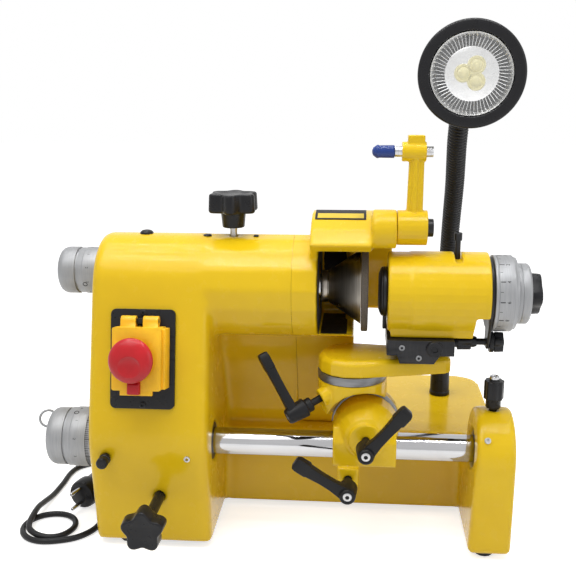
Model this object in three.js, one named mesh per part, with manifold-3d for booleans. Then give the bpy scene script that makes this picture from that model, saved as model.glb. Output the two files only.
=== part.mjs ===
// Universal cutter grinder: a bench machine with a cast base, a grinding spindle in the nose of its
// housing, and a work head that slides, swings, tilts and swivels on a guide bar in front of it.
// Millimetres, +Z up. X runs along the guide bar, Y from the operator's side to the back.
// Places are first worked out from the foot of the housing's inner side (X = 0), its foremost line
// (Y = 0) and the table (Z = 0). The finished group is then centred over its own footprint.

import * as THREE from "three";
import { mergeVertices } from "three/addons/utils/BufferGeometryUtils.js";
import Module from "manifold-3d";

const wasm = await Module();
wasm.setup();

// Clearances and general sizes
const seatGap = 0.3;
const overrun = 20;
const wall = 8;
const footHeight = 8;
const footRadius = 12;
const footInset = 20;
const footInsetAlong = 34;
const footBossHeight = 34;
const footBossRadius = 16;

// Heights of the guide bar, the work head on it and the wheel, each built on the one below
const barHeight = 113.5;
const tiltRise = 20.2;
const bracketRise = 58.7;
const swivelRingHeight = 9;
const armThickness = 18.5;
const armStandOff = 9.5;
const carriageHeight = 16.6;
const headRadius = 44;
const spindleDrop = 2.3;
const tiltHeight = barHeight + tiltRise;
const swivelRingBottom = tiltHeight + bracketRise;
const carriageBottom = swivelRingBottom + swivelRingHeight + armThickness + armStandOff;
const carriageTop = carriageBottom + carriageHeight;
const headHeight = carriageTop + headRadius + seatGap;
const spindleHeight = headHeight - spindleDrop;

// Housing and nose of the main casting
const housingWidth = 132;
const housingLean = 3.5;
const chinSetback = 7;
const partingHeight = 165;
const creaseHeight = 129;
const creaseRound = 20;
const noseRadius = 57.5;
const spindleDepth = 86;
const seamAlong = 88.2;
const castingBack = 338;
const shoulderDepth = 296;
const shoulderHeight = 190;
const shoulderDrop = 45;
const housingEdge = 9;
const columnTopDepth = 98;
const columnFootDepth = 150;
const columnBackFootDepth = 222;

// Deck, web and post of the main casting
const deckTop = 98;
const deckThickness = 10;
const deckRight = 329;
const deckCorner = 34;
const webFootDepth = 112;
const webTopDepth = 127;
const postLeft = 283;
const postRight = 329.5;
const postLean = 6;
const postRadius = 47.5;
const postBackDepth = 128;
const postEdge = 4;
const ribThickness = 8;

// Guide bar with its feed
const barDepth = 50;
const barRadius = 15;
const barEnd = 317;
const barInset = 8;
const barStart = barInset - housingWidth;
const barSleeveRadius = 21;
const barSleeveLength = 34;
const barSleeveRecess = 1.5;
const barBossRadius = 29;
const feedScrewRadius = 6;
const feedScrewReach = 36;
const barDialRadius = 34;
const barKnobRadius = 32.6;
const dialLength = 34;
const knobLength = 21;
const dialGroove = 2.5;
const dialGrooveDepth = 2;
const knobRounding = 5;

// Spindle, sleeve and wheel
const sleeveRadius = 25.7;
const sleeveBossRadius = 34;
const sleeveStart = -58;
const sleeveEnd = 112;
const sleeveBossStart = -44;
const bearingRadius = 20;
const bearingWidth = 15;
const sleeveBore = 14;
const shaftRadius = 10;
const shaftInset = 10;
const shaftStart = shaftInset - housingWidth;
const shaftCollarRadius = 14;
const hubStart = 119;
const hubEnd = 125.4;
const hubRadius = 17.9;
const hubNeck = 1.4;
const hubNeckRadius = 15.5;
const coneEnd = 162.2;
const coneRadius = 42;
const coneWall = 6;
const cupFloor = 136;
const rimStart = 162.5;
const rimEnd = 170;
const wheelRadius = 50;
const rimInnerRadius = 37;
const rimChamfer = 1;
const nutRadius = 14;
const nutLength = 11;
const threadRadius = 7;
const pulleyWidth = 28;
const spindlePulleyRadius = 24;
const motorPulleyRadius = 30;
const beltWidth = 10;
const beltThickness = 3;
const beltGap = 0.9;
const beltInset = 24;
const beltAlong = beltInset - housingWidth;
const feedBracketThickness = 10;
const feedBracketRound = 11;
const spindleDialDepth = 128;
const spindleDialRise = 4.4;
const spindleDialHeight = spindleHeight + spindleDialRise;
const spindleDialRadius = 27.6;
const spindleDialScrewRadius = 5;
const spindleDialLength = 38;
const spindleKnobLength = 22;

// Motor
const motorDepth = 205;
const motorHeight = 88;
const motorRadius = 50;
const motorLength = 74;
const motorShaftRadius = 7;
const motorShaftSeat = 20;
const motorFinDepth = 4;
const motorFlangeThickness = 8;

// Wheel guard
const guardEnd = 155;
const pocketStart = 116;
const pocketEnd = 147.5;
const pocketDrop = 48;
const pocketFloor = spindleHeight - pocketDrop;
const pocketBack = 150;
const guardWallFront = 95;
const hoodStart = 108;
const hoodEnd = 172.6;
const hoodSideWall = 8;
const hoodRadius = 85;
const hoodThickness = 13;
const hoodFrontAngle = THREE.MathUtils.degToRad(47.5);
const hoodBackAngle = THREE.MathUtils.degToRad(-122);
const hoodTailAngle = THREE.MathUtils.degToRad(12);
const backWallEnd = 198.4;
const dresserBossRadius = 22;
const dresserBossDrop = 3;

// Wheel dresser
const dresserDepth = 50;
const dresserInset = 12;
const dresserHeight = spindleHeight + hoodRadius - dresserInset;
const dresserHubLength = 31.5;
const dresserHubRadius = 18.5;
const dresserReach = 79;
const dresserArmWidth = 17.5;
const dresserArmThickness = 12;
const dresserRib = 4;
const dresserClampRadius = 10.2;
const dresserClampLength = 25;
const dresserBlockHeight = 17;
const dresserBlockWidth = 17.5;
const pivotHeadRadius = 9.5;
const pivotHeadLength = 6.3;
const pivotShankRadius = 6;
const pivotShankLength = 24;
const diamondRadius = 5.6;
const diamondEnd = 182;
const capRadius = 7;
const capLength = 23;
const capStart = 171;
const capBore = 12;
const holderNoseRadius = 4;

// Star knobs, post knob and pull pin
const starKnobRadius = 29;
const starKnobHeight = 22;
const starHubRadius = 14.5;
const starHubHeight = 17;
const starStudRadius = 4;
const starStudShow = 8;
const sleeveKnobAlong = 20;
const frontKnobAlong = -55;
const frontKnobHeight = 66.8;
const frontKnobRadius = 23.5;
const frontKnobDepth = 20;
const frontRodRadius = 6;
const frontRodShow = 60;
const frontRodSeat = 24;
const lobeDepthShare = 0.13;
const pinAlong = -111;
const pinHeight = 113.9;
const pinRadius = 6.2;
const pinShow = 17;
const pinSeat = 14;
const pinShankRadius = 4;
const postKnobAlong = 308.5;
const postKnobRadius = 10.8;
const postKnobHeight = 22;
const postCollarRadius = 8.2;
const postCollarHeight = 10;
const postShankRadius = 4.2;
const postShankShow = 2;
const postShankSeat = 16;
const postTipRadius = 5.4;
const postTipHeight = 4.5;

// Switch on the housing's leaning front
const switchCentreAlong = -69.5;
const switchBottom = 4.5;
const switchHeight = 107;
const switchWidth = 70;
const switchPlateThickness = 3;
const switchCorner = 6;
const switchModuleWidth = 44;
const switchModuleHeight = 48;
const switchModuleDepth = 13;
const switchModuleSeat = 30;
const switchCoverWidth = 52;
const switchCoverBottom = 27.5;
const switchCoverHeight = 66;
const switchCoverDepth = 30;
const switchCoverWall = 2.5;
const hingeKnuckleWidth = 16;
const hingeKnuckleSpread = 12;
const hingeKnuckleRadius = 5.5;
const hingeKnuckleReach = 6;
const hingePinRadius = 2.2;
const hingeOutward = 14;
const coverTabWidth = 34;
const coverTabHeight = 5;
const mushroomRadius = 23.6;
const mushroomHeight = 12;
const mushroomCentre = 60;
const mushroomAside = -3;
const mushroomNeckRadius = 11;
const mushroomShow = 6;
const mushroomStemRadius = 6;
const pushButtonRadius = 8;
const pushButtonHeight = 5;
const pushButtonSeat = 8;
const pushButtonPitch = 26;

// Slide block on the bar
const blockLeft = 134.2;
const blockRight = 203.5;
const blockFront = 20;
const blockBack = 72;
const blockRise = 29.5;
const blockDrop = 21.5;
const blockTop = barHeight + blockRise;
const blockBottom = barHeight - blockDrop;
const blockToe = 30;
const blockToeLift = 7;
const blockToeHeight = blockBottom + blockToeLift;
const tiltAlong = 170;
const domeFront = 14.5;
const domeRadius = 37.6;
const domeBossRadius = 18.4;
const ringFront = 60.3;
const tiltRingRadius = 38.6;
const tiltRingBore = 30;
const tiltPinRadius = 9;
const tiltPinLength = 14;
const lugAlong = 151.5;
const lugWidth = 23;
const lugHang = 15;
const lugBottom = blockBottom - lugHang;
const lugFront = 16;
const lugBack = 62;
const clampSlit = 2.5;

// Tilting bracket, swivel ring and arm
const swivelAlong = 154;
const swivelDepth = 58;
const swivelRadius = 38;
const bowlHeight = 45;
const tiltDiscThickness = 15;
const saddleClearance = 0.6;
const saddleFrontSpread = 14;
const saddleFrontReach = 44;
const swivelPinRadius = 12;
const swivelPinLength = 10;
const armRight = 261;
const armFront = 44;
const armBack = 82;
const armEdge = 4;

// Carriage and work head
const carriageLeft = 190.4;
const carriageRight = 260.9;
const carriageFront = 20;
const carriageBack = 94;
const carriageFootLeft = 204;
const carriageFootRight = 240;
const carriageStep = 6;
const dovetailWidth = 30;
const dovetailHeight = 6;
const dovetailSpread = 4;
const dovetailStart = 213;
const headDepth = 56;
const headStart = 190.4;
const headEnd = 296;
const headNoseInset = 0.8;
const headNoseRadius = headRadius - headNoseInset;
const headNoseLength = 23;
const headFootWidth = 54;
const headFootStart = 194;
const headFootEnd = 281;
const headNotchStart = 282;
const headNotchHeight = 19;
const headSlotStart = 259.7;
const headSlotWidth = 7.6;
const headSlotFloor = 36.5;
const indexSpindleRadius = 22;
const indexBore = 10;
const noseFlangeStart = 186;
const noseFlangeEnd = 190;
const noseFlangeRadius = 27;
const noseTabReach = 41;
const noseTabWidth = 9;
const colletNutStart = 181;
const colletNutRadius = 26.5;
const colletNutMouthRadius = 20;
const colletBore = 8;
const flangeThickness = 3.3;
const flangeInset = 5.2;
const flangeRadius = headRadius - flangeInset;
const flangeLugWidth = 15;
const flangeLugReach = 55;
const dialGap = 0.4;
const indexDialInset = 3.2;
const indexDialRadius = headRadius - indexDialInset;
const indexDialLength = 25;
const indexStepRadius = 32.3;
const indexStepLength = 14.5;
const indexChamfer = 2;
const drawbarRadius = 22.6;
const drawbarLength = 12.5;
const drawbarRodRadius = 9;
const drawbarRodLength = 120;
const feedDepth = 50;
const feedRise = 8.3;
const feedHeight = carriageBottom + feedRise;
const feedRodRadius = 3.6;
const feedRodSeat = 34;
const feedCollarStart = 263;
const feedCollarEnd = 286;
const feedCollarRadius = 7;
const feedDiscStart = 300.2;
const feedDiscEnd = 304.6;
const feedDiscRadius = 11.4;
const feedGripEnd = 315;
const feedGripRadius = 10;
const clampScrewHeadRadius = 4.2;
const clampScrewHeadHeight = 8;
const clampScrewRadius = 2.9;
const clampScrewLength = 28;

// Clamp levers
const leverHubRadius = 10.6;
const leverHubTipRadius = 8.6;
const leverHubLength = 31;
const leverReach = 66;
const swivelLeverReach = 74;
const leverStudShow = 11;
const leverFootShare = 0.75;
const leverStepShare = 0.22;
const leverCrownShare = 0.1;
const leverGripRadius = 7.4;
const leverWaistRadius = 5.4;
const leverThickness = 11;
const leverStudRadius = 4;
const leverStudSeat = 10;

// Lamp
const lampBaseAlong = 271;
const lampAside = 1;
const lampAlong = lampBaseAlong - lampAside;
const lampDepth = 60;
const lampHeight = 517.5;
const lampTurn = THREE.MathUtils.degToRad(7.3);
const lampRadius = 54.6;
const lampLipRadius = 42.5;
const lampRimLength = 20;
const lampShellLength = 40;
const lampShellRadius = 32;
const lampNeckRadius = 14;
const lampNeckLength = 10;
const lampLip = 4;
const lampGlassRadius = 41.8;
const lampGlassThickness = 3;
const lampGlassInset = 1;
const lampBaseDepth = 262;
const lampBaseRadius = 13;
const lampBaseHeight = 58;
const neckRibPitch = 6;
const neckRibRadius = 11.6;
const neckCoreRadius = 9.6;
const neckSides = 8;
const neckEndLength = 20;
const lampBall = 1;

// Power cord
const cordRadius = 3.5;
const cordSides = 8;
const cordStep = 19;
const glandAlong = -100;
const glandHeight = 40;
const glandRadius = 10;
const glandLength = 18;
const glandBore = 4.2;
const plugAside = 35;
const plugAlong = -housingWidth - plugAside;
const plugDepth = 112;
const plugLength = 52;
const plugRadius = 18;
const plugTurn = THREE.MathUtils.degToRad(18);
const plugNeckRadius = 7;
const plugNeckLength = 14;
const plugPinRadius = 2.4;
const plugPinLength = 19;
const plugPinPitch = 19;

// Fineness of round shapes
const roundSides = 24;
const smallSides = 12;
const curveSteps = 4;
const castingSteps = 6;
const lobeSteps = 6;
const edgeSteps = 1;
const castingEdgeSteps = 2;

const xAxis = new THREE.Vector3(1, 0, 0);
const yAxis = new THREE.Vector3(0, 1, 0);
const zAxis = new THREE.Vector3(0, 0, 1);
const downY = yAxis.clone().negate();
const downZ = zAxis.clone().negate();

// How an extrusion's or a revolve's own axes lie when it runs along X, Y or Z
const extrudeAlong = {
  x: new THREE.Matrix4().makeBasis(yAxis, zAxis, xAxis),
  y: new THREE.Matrix4().makeBasis(xAxis, zAxis, downY),
  z: new THREE.Matrix4(),
};
const revolveAlong = {
  x: new THREE.Matrix4().makeBasis(yAxis, xAxis, downZ),
  y: new THREE.Matrix4(),
  z: new THREE.Matrix4().makeBasis(xAxis, zAxis, downY),
};

const paint = (color, roughness, metalness = 0) =>
  new THREE.MeshStandardMaterial({ color, roughness, metalness, flatShading: true });
const yellowPaint = () => paint(0xf0cb16, 0.35);
const blackPlastic = () => paint(0x161616, 0.5);
const blackSteel = () => paint(0x1c1c1e, 0.4, 0.6);
const greyDial = () => paint(0x8d8f92, 0.45, 0.7);
const brightSteel = () => paint(0xc9cbce, 0.25, 0.9);
const chromeSteel = () => paint(0xe2e4e6, 0.12, 1);
const castGrey = () => paint(0x5b5e60, 0.6, 0.5);
const blackRubber = () => paint(0x0f0f0f, 0.85);

// A closed geometry as a solid, with its faces turned outwards
function solidOf(geometry) {
  const bare = geometry.index ? geometry.toNonIndexed() : geometry.clone();
  bare.deleteAttribute("normal");
  bare.deleteAttribute("uv");
  const merged = mergeVertices(bare);
  const corners = merged.index.array;
  const kept = [];
  for (let i = 0; i < corners.length; i += 3) {
    const [a, b, c] = corners.subarray(i, i + 3);
    if (a !== b && b !== c && c !== a) kept.push(a, b, c);
  }
  const vertProperties = merged.attributes.position.array;
  const build = (triVerts) =>
    new wasm.Manifold(new wasm.Mesh({ numProp: 3, vertProperties, triVerts: new Uint32Array(triVerts) }));
  const solid = build(kept);
  if (solid.volume() > 0) return solid;
  return build(kept.reverse());
}

const join = (...solids) => solids.reduce((whole, next) => whole.add(next));
const cut = (body, ...tools) => tools.reduce((whole, tool) => whole.subtract(tool), body);

// A flat outline extruded along an axis, with rounded end edges where edge is given
function prism(axis, outline, from, to, edge = 0, bevelSegments = edgeSteps, curveSegments = curveSteps) {
  const geometry = new THREE.ExtrudeGeometry(outline, {
    depth: to - from - 2 * edge,
    bevelEnabled: edge > 0,
    bevelThickness: edge,
    bevelSize: edge,
    bevelOffset: -edge,
    bevelSegments,
    curveSegments,
  });
  geometry.translate(0, 0, edge + (axis === "y" ? -to : from));
  return solidOf(geometry.applyMatrix4(extrudeAlong[axis]));
}

// A profile of [place along the axis, radius] pairs revolved about an axis through (a, b)
function turned(axis, profile, a = 0, b = 0, sides = roundSides) {
  const points = profile.map(([along, radius]) => new THREE.Vector2(radius, along));
  const geometry = new THREE.LatheGeometry(points, sides).applyMatrix4(revolveAlong[axis]);
  return solidOf(offset(geometry, axis, a, b));
}

function offset(geometry, axis, a, b) {
  if (axis === "x") return geometry.translate(0, a, b);
  if (axis === "y") return geometry.translate(a, 0, b);
  return geometry.translate(a, b, 0);
}

function rod(axis, radius, from, to, a = 0, b = 0, sides = roundSides) {
  const geometry = new THREE.CylinderGeometry(radius, radius, to - from, sides);
  geometry.translate(0, (from + to) / 2, 0).applyMatrix4(revolveAlong[axis]);
  return solidOf(offset(geometry, axis, a, b));
}

function tube(axis, outer, inner, from, to, a = 0, b = 0, sides = roundSides) {
  const walls = [[from, outer], [to, outer], [to, inner], [from, inner], [from, outer]];
  return turned(axis, walls, a, b, sides);
}

function block(left, right, front, back, bottom, top) {
  const geometry = new THREE.BoxGeometry(right - left, back - front, top - bottom);
  return solidOf(geometry.translate((left + right) / 2, (front + back) / 2, (bottom + top) / 2));
}

function outlineOf(points) {
  return new THREE.Shape(points.map(([u, v]) => new THREE.Vector2(u, v)));
}

function roundedRectangle(left, bottom, right, top, radius) {
  const outline = new THREE.Shape();
  outline.absarc(right - radius, bottom + radius, radius, -Math.PI / 2, 0);
  outline.absarc(right - radius, top - radius, radius, 0, Math.PI / 2);
  outline.absarc(left + radius, top - radius, radius, Math.PI / 2, Math.PI);
  outline.absarc(left + radius, bottom + radius, radius, Math.PI, 1.5 * Math.PI);
  outline.closePath();
  return outline;
}

// A ring sector about (0, 0) between two angles measured from straight up, positive to the front
function ringSector(outer, inner, frontAngle, backAngle, steps) {
  const at = (radius, angle) => [-radius * Math.sin(angle), radius * Math.cos(angle)];
  const angles = Array.from({ length: steps + 1 }, (_, i) =>
    THREE.MathUtils.lerp(frontAngle, backAngle, i / steps));
  const outside = angles.map((angle) => at(outer, angle));
  const inside = angles.map((angle) => at(inner, angle)).reverse();
  return outlineOf([...outside, ...inside]);
}

// Where the line from a point touches a circle: side +1 or -1 picks one of the two touch points
function touchAngle(point, centre, radius, side) {
  const away = centre.clone().sub(point);
  const direction = away.angle() + side * Math.asin(radius / away.length());
  return direction + side * Math.PI / 2;
}

function meshOf(name, solid, material) {
  const made = solid.getMesh();
  const geometry = new THREE.BufferGeometry();
  geometry.setAttribute("position", new THREE.BufferAttribute(made.vertProperties, made.numProp));
  geometry.setIndex(new THREE.BufferAttribute(made.triVerts, 1));
  geometry.computeVertexNormals();
  const mesh = new THREE.Mesh(geometry, material);
  mesh.name = name;
  return mesh;
}

function groupAt(parent, x, y, z) {
  const group = new THREE.Group();
  group.position.set(x, y, z);
  parent.add(group);
  return group;
}

const machine = new THREE.Group();

// Side views of the casting, as (Y, Z) outlines
const noseCentre = new THREE.Vector2(spindleDepth, spindleHeight);

// The front plane of the housing above its parting line leans back by this angle
const partingPoint = new THREE.Vector2(0, partingHeight);
const frontLean = Math.PI - touchAngle(partingPoint, noseCentre, noseRadius, 1);
// It runs on down to a soft crease, where the chin starts
const creaseForward = Math.tan(frontLean) * (partingHeight - creaseHeight);
const chinSlope = (chinSetback + creaseForward) / (creaseHeight - footHeight);
const chinAt = (height) => chinSlope * (creaseHeight - height) - creaseForward;

function housingOutline(inset, bottom) {
  const radius = noseRadius - inset;
  const parting = new THREE.Vector2(inset, partingHeight);
  const shoulder = new THREE.Vector2(shoulderDepth - inset, shoulderHeight - inset);
  const back = castingBack - inset;
  const frontTouch = touchAngle(parting, noseCentre, radius, 1);
  const backTouch = touchAngle(shoulder, noseCentre, radius, -1);
  const outline = new THREE.Shape();
  const crease = new THREE.Vector2(inset - creaseForward, creaseHeight);
  const chin = new THREE.Vector2(chinAt(bottom) + inset, bottom);
  const below = crease.clone().add(chin.clone().sub(crease).setLength(creaseRound));
  const above = crease.clone().add(parting.clone().sub(crease).setLength(creaseRound));
  outline.moveTo(chin.x, chin.y);
  outline.lineTo(below.x, below.y);
  outline.quadraticCurveTo(crease.x, crease.y, above.x, above.y);
  outline.absarc(noseCentre.x, noseCentre.y, radius, frontTouch, backTouch, true);
  outline.lineTo(shoulder.x, shoulder.y);
  outline.quadraticCurveTo(back, shoulder.y - shoulderDrop / 2, back, shoulder.y - 2 * shoulderDrop);
  outline.lineTo(back, bottom);
  outline.closePath();
  return outline;
}

function columnOutline(bottom) {
  const frontStart = Math.asin((columnTopDepth - spindleDepth) / noseRadius) - Math.PI / 2;
  const backFoot = new THREE.Vector2(columnBackFootDepth, bottom);
  const backTouch = touchAngle(backFoot, noseCentre, noseRadius, -1);
  const outline = new THREE.Shape();
  outline.moveTo(backFoot.x, backFoot.y);
  outline.lineTo(columnFootDepth, bottom);
  outline.absarc(noseCentre.x, noseCentre.y, noseRadius, frontStart + 2 * Math.PI, backTouch, true);
  outline.closePath();
  return outline;
}

const sideLean = (height) =>
  housingLean * Math.max(0, height - partingHeight) / (spindleHeight + noseRadius - partingHeight);

function leaningHousing() {
  const housing = prism("x", housingOutline(0, footHeight - overrun), -housingWidth, 0, housingEdge, castingEdgeSteps, castingSteps);
  const below = block(-housingWidth - overrun, overrun, -2 * overrun, castingBack + overrun, -2 * overrun, footHeight);
  return cut(housing, below).warp((vertex) => {
    if (vertex[0] < -housingWidth / 2) vertex[0] += sideLean(vertex[2]);
  });
}

function deckBody() {
  const plan = new THREE.Shape();
  plan.moveTo(-wall, webFootDepth);
  plan.lineTo(deckRight, webFootDepth);
  plan.absarc(deckRight - deckCorner, castingBack - deckCorner, deckCorner, 0, Math.PI / 2);
  plan.lineTo(-wall, castingBack);
  plan.closePath();
  const slope = outlineOf([
    [webFootDepth, footHeight],
    [webTopDepth, deckTop],
    [webTopDepth, deckTop + overrun],
    [webFootDepth - overrun, deckTop + overrun],
    [webFootDepth - overrun, footHeight],
  ]);
  const front = prism("x", slope, -overrun, deckRight + overrun);
  return cut(prism("z", plan, footHeight, deckTop), front);
}

function deckPocket(left, right) {
  const front = webTopDepth + ribThickness;
  const back = castingBack - ribThickness;
  const plan = roundedRectangle(left, front, right, back, deckCorner - ribThickness);
  return prism("z", plan, footHeight - overrun, deckTop - deckThickness);
}

function postBody() {
  const outline = new THREE.Shape();
  outline.moveTo(postBackDepth, footHeight);
  outline.lineTo(chinSetback, footHeight);
  outline.absarc(barDepth + seatGap, barHeight, postRadius, Math.PI, 0, true);
  outline.lineTo(postBackDepth, deckTop);
  outline.closePath();
  const post = prism("x", outline, postLeft, postRight, postEdge, castingEdgeSteps, castingSteps);
  const postTop = barHeight + postRadius;
  return post.warp((vertex) => {
    const share = (vertex[2] - footHeight) / (postTop - footHeight);
    if (vertex[0] < (postLeft + postRight) / 2) vertex[0] += postLean * share;
  });
}

const footPlaces = [
  ["front_left", -housingWidth + footInsetAlong, chinSetback + footInset],
  ["front_right", postLeft + footRadius + wall, chinSetback + footInset],
  ["rear_left", -housingWidth + footInsetAlong, castingBack - footInset],
  ["rear_right", postLeft + footRadius + wall, castingBack - footInset],
];
const postTop = barHeight + postRadius;
const motorMount = -wall;
const spindleDialLeft = -housingWidth + sideLean(spindleDialHeight - spindleDialRadius);

function baseCasting() {
  const cavity = prism("x", housingOutline(wall, footHeight - overrun), wall - housingWidth, -wall);
  const nose = prism("x", columnOutline(deckTop - deckThickness), -wall, seamAlong, 0, edgeSteps, castingSteps);
  const middle = (seamAlong + deckRight) / 2;
  const pockets = [
    deckPocket(ribThickness, middle - ribThickness / 2),
    deckPocket(middle + ribThickness / 2, deckRight - ribThickness),
  ];
  const bosses = footPlaces.map(([, x, y]) =>
    rod("z", footBossRadius, footHeight, footHeight + footBossHeight, x, y, smallSides));
  const barBosses = [
    rod("x", barBossRadius, wall / 2 - housingWidth, wall - housingWidth + barSleeveLength / 2, barDepth, barHeight),
    rod("x", barBossRadius, -barSleeveLength - wall, -wall / 2, barDepth, barHeight),
  ];
  const sleeveBoss = rod("x", sleeveBossRadius, sleeveBossStart, -wall / 2, spindleDepth, spindleHeight);
  const hollow = cut(leaningHousing(), cavity);
  const deck = cut(deckBody(), ...pockets);
  const whole = join(hollow, nose, deck, postBody(), ...barBosses, sleeveBoss, ...bosses);
  return cut(whole, ...baseBores());
}

function baseBores() {
  const barHole = barRadius + seatGap;
  const sleeveHole = barSleeveRadius + seatGap;
  const leftBoss = wall - housingWidth + barSleeveLength / 2;
  const sleeveFloor = -barSleeveLength - barSleeveRecess - seatGap;
  const postFloor = postLeft + barSleeveLength + barSleeveRecess + postLean + seatGap;
  return [
    rod("x", barHole, -housingWidth - overrun, leftBoss + overrun, barDepth, barHeight),
    rod("x", barHole, -2 * overrun - barSleeveLength, overrun, barDepth, barHeight),
    rod("x", sleeveHole, sleeveFloor, overrun, barDepth, barHeight),
    rod("x", sleeveHole, postLeft - overrun, postFloor, barDepth, barHeight),
    rod("x", sleeveRadius + seatGap, sleeveBossStart - overrun, seamAlong + overrun, spindleDepth, spindleHeight),
    rod("x", spindleDialScrewRadius + seatGap, -housingWidth - overrun, wall * 2 - housingWidth,
      spindleDialDepth, spindleDialHeight, smallSides),
    rod("z", starStudRadius + seatGap, spindleHeight, spindleHeight + noseRadius + overrun,
      sleeveKnobAlong, spindleDepth, smallSides),
    rod("y", frontRodRadius + seatGap, -overrun, frontRodSeat + chinSetback, frontKnobAlong, frontKnobHeight, smallSides),
    rod("y", pinShankRadius + seatGap, -overrun, pinSeat + wall, pinAlong, pinHeight, smallSides),
    rod("z", postShankRadius + seatGap, postTop - postShankSeat - seatGap, postTop + overrun,
      postKnobAlong, barDepth, smallSides),
    rod("y", glandRadius / 2 + seatGap, castingBack - wall - overrun, castingBack + overrun,
      glandAlong, glandHeight, smallSides),
    switchWindow(),
  ];
}

const switchMiddle = switchCoverBottom + switchCoverHeight / 2;

// The hole behind the switch, square to the leaning front
function switchWindow() {
  const hole = new THREE.BoxGeometry(switchModuleWidth + 2 * seatGap, 2 * switchModuleSeat, switchModuleHeight + 2 * seatGap);
  hole.translate(0, 0, switchMiddle).rotateX(-frontLean).translate(switchCentreAlong, 0, partingHeight);
  return solidOf(hole);
}

function bottomCover() {
  const gap = wall + seatGap;
  const plate = block(gap - housingWidth, -gap, chinSetback + gap, castingBack - gap, footHeight, footHeight + wall / 3);
  const corners = footPlaces.map(([, x, y]) =>
    rod("z", footBossRadius + seatGap, 0, footHeight + overrun, x, y, smallSides));
  return cut(plate, ...corners);
}

function foot() {
  const flare = footRadius / 6;
  const profile = [[0, 0], [0, footRadius - flare], [footHeight - flare, footRadius], [footHeight, footRadius], [footHeight, 0]];
  return turned("z", profile, 0, 0, smallSides);
}

machine.add(meshOf("base_casting", baseCasting(), yellowPaint()));
machine.add(meshOf("bottom_cover", bottomCover(), blackSteel()));
for (const [place, x, y] of footPlaces) {
  const made = meshOf("foot_" + place, foot(), blackRubber());
  made.position.set(x, y, 0);
  machine.add(made);
}

// Motor, belt and pulleys in the housing
const driveLine = new THREE.Vector2(motorDepth - spindleDepth, motorHeight - spindleHeight);

function motorBody() {
  const start = motorMount - seatGap - motorLength;
  const end = motorMount - seatGap;
  const flange = rod("x", motorRadius, end - motorFlangeThickness, end);
  const core = rod("x", motorRadius - motorFinDepth, start, end);
  const bands = [0.5].map((share) => {
    const at = start + share * (motorLength - motorFlangeThickness);
    return rod("x", motorRadius, at - motorFinDepth, at + motorFinDepth);
  });
  const shaftHole = rod("x", motorShaftRadius + seatGap, start - overrun, start + motorShaftSeat, 0, 0, smallSides);
  return cut(join(core, flange, ...bands), shaftHole);
}

function motorPulley() {
  const motorStart = motorMount - seatGap - motorLength;
  const left = beltAlong - beltWidth / 2 - beltThickness;
  const right = beltAlong + beltWidth / 2 + beltThickness;
  const lip = motorPulleyRadius + beltThickness;
  const profile = [
    [left, 0],
    [left, lip],
    [left + beltThickness / 2, lip],
    [left + beltThickness / 2, motorPulleyRadius],
    [right - beltThickness / 2, motorPulleyRadius],
    [right - beltThickness / 2, lip],
    [right, lip],
    [right, motorShaftRadius],
    [motorStart + motorShaftSeat - seatGap, motorShaftRadius],
    [motorStart + motorShaftSeat - seatGap, 0],
  ];
  return turned("x", profile);
}

// The belt's run between the two pulleys, as an outline offset outwards by a distance
function beltOutline(distance) {
  const top = spindlePulleyRadius + distance;
  const low = motorPulleyRadius + distance;
  const heading = driveLine.angle();
  const spread = Math.acos((top - low) / driveLine.length());
  const outline = new THREE.Shape();
  outline.absarc(0, 0, top, heading + spread, heading - spread + 2 * Math.PI);
  outline.absarc(driveLine.x, driveLine.y, low, heading - spread, heading + spread);
  outline.closePath();
  return outline;
}

function driveBelt() {
  const from = beltAlong - beltWidth / 2;
  const to = beltAlong + beltWidth / 2;
  const outer = prism("x", beltOutline(beltGap + beltThickness), from, to, 0, edgeSteps, castingSteps);
  return cut(outer, prism("x", beltOutline(beltGap), from - overrun, to + overrun, 0, edgeSteps, castingSteps));
}

const motorGroup = groupAt(machine, 0, motorDepth, motorHeight);
motorGroup.add(meshOf("motor", motorBody(), castGrey()));
motorGroup.add(meshOf("motor_pulley", motorPulley(), greyDial()));

// Spindle with its sleeve, about its own axis
const spindleGroup = groupAt(machine, 0, spindleDepth, spindleHeight);
const bearingSeat = bearingRadius + seatGap;

function spindleSleeve() {
  const seat = bearingWidth + 2 * seatGap;
  const profile = [
    [sleeveStart, sleeveRadius],
    [sleeveEnd, sleeveRadius],
    [sleeveEnd, bearingSeat],
    [sleeveEnd - seat, bearingSeat],
    [sleeveEnd - seat, sleeveBore],
    [sleeveStart + seat, sleeveBore],
    [sleeveStart + seat, bearingSeat],
    [sleeveStart, bearingSeat],
    [sleeveStart, sleeveRadius],
  ];
  return turned("x", profile);
}

function bearing(centre) {
  const from = centre - bearingWidth / 2;
  const to = centre + bearingWidth / 2;
  const lip = (bearingRadius - shaftRadius) / 4;
  const profile = [
    [from, shaftRadius + seatGap],
    [from, bearingRadius],
    [to, bearingRadius],
    [to, bearingRadius - lip],
    [to - lip, bearingRadius - lip],
    [to - lip, shaftRadius + seatGap],
    [from, shaftRadius + seatGap],
  ];
  return turned("x", profile, 0, 0, smallSides * 2);
}

function spindleShaft() {
  const shoulder = sleeveEnd + seatGap;
  const profile = [
    [shaftStart, 0],
    [shaftStart, shaftRadius],
    [shoulder, shaftRadius],
    [shoulder, shaftCollarRadius],
    [hubStart - seatGap, shaftCollarRadius],
    [hubStart - seatGap, shaftRadius],
    [cupFloor - seatGap, shaftRadius],
    [cupFloor - seatGap, threadRadius],
    [cupFloor + nutLength + threadRadius / 2, threadRadius],
    [cupFloor + nutLength + threadRadius / 2, 0],
  ];
  return turned("x", profile);
}

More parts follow.
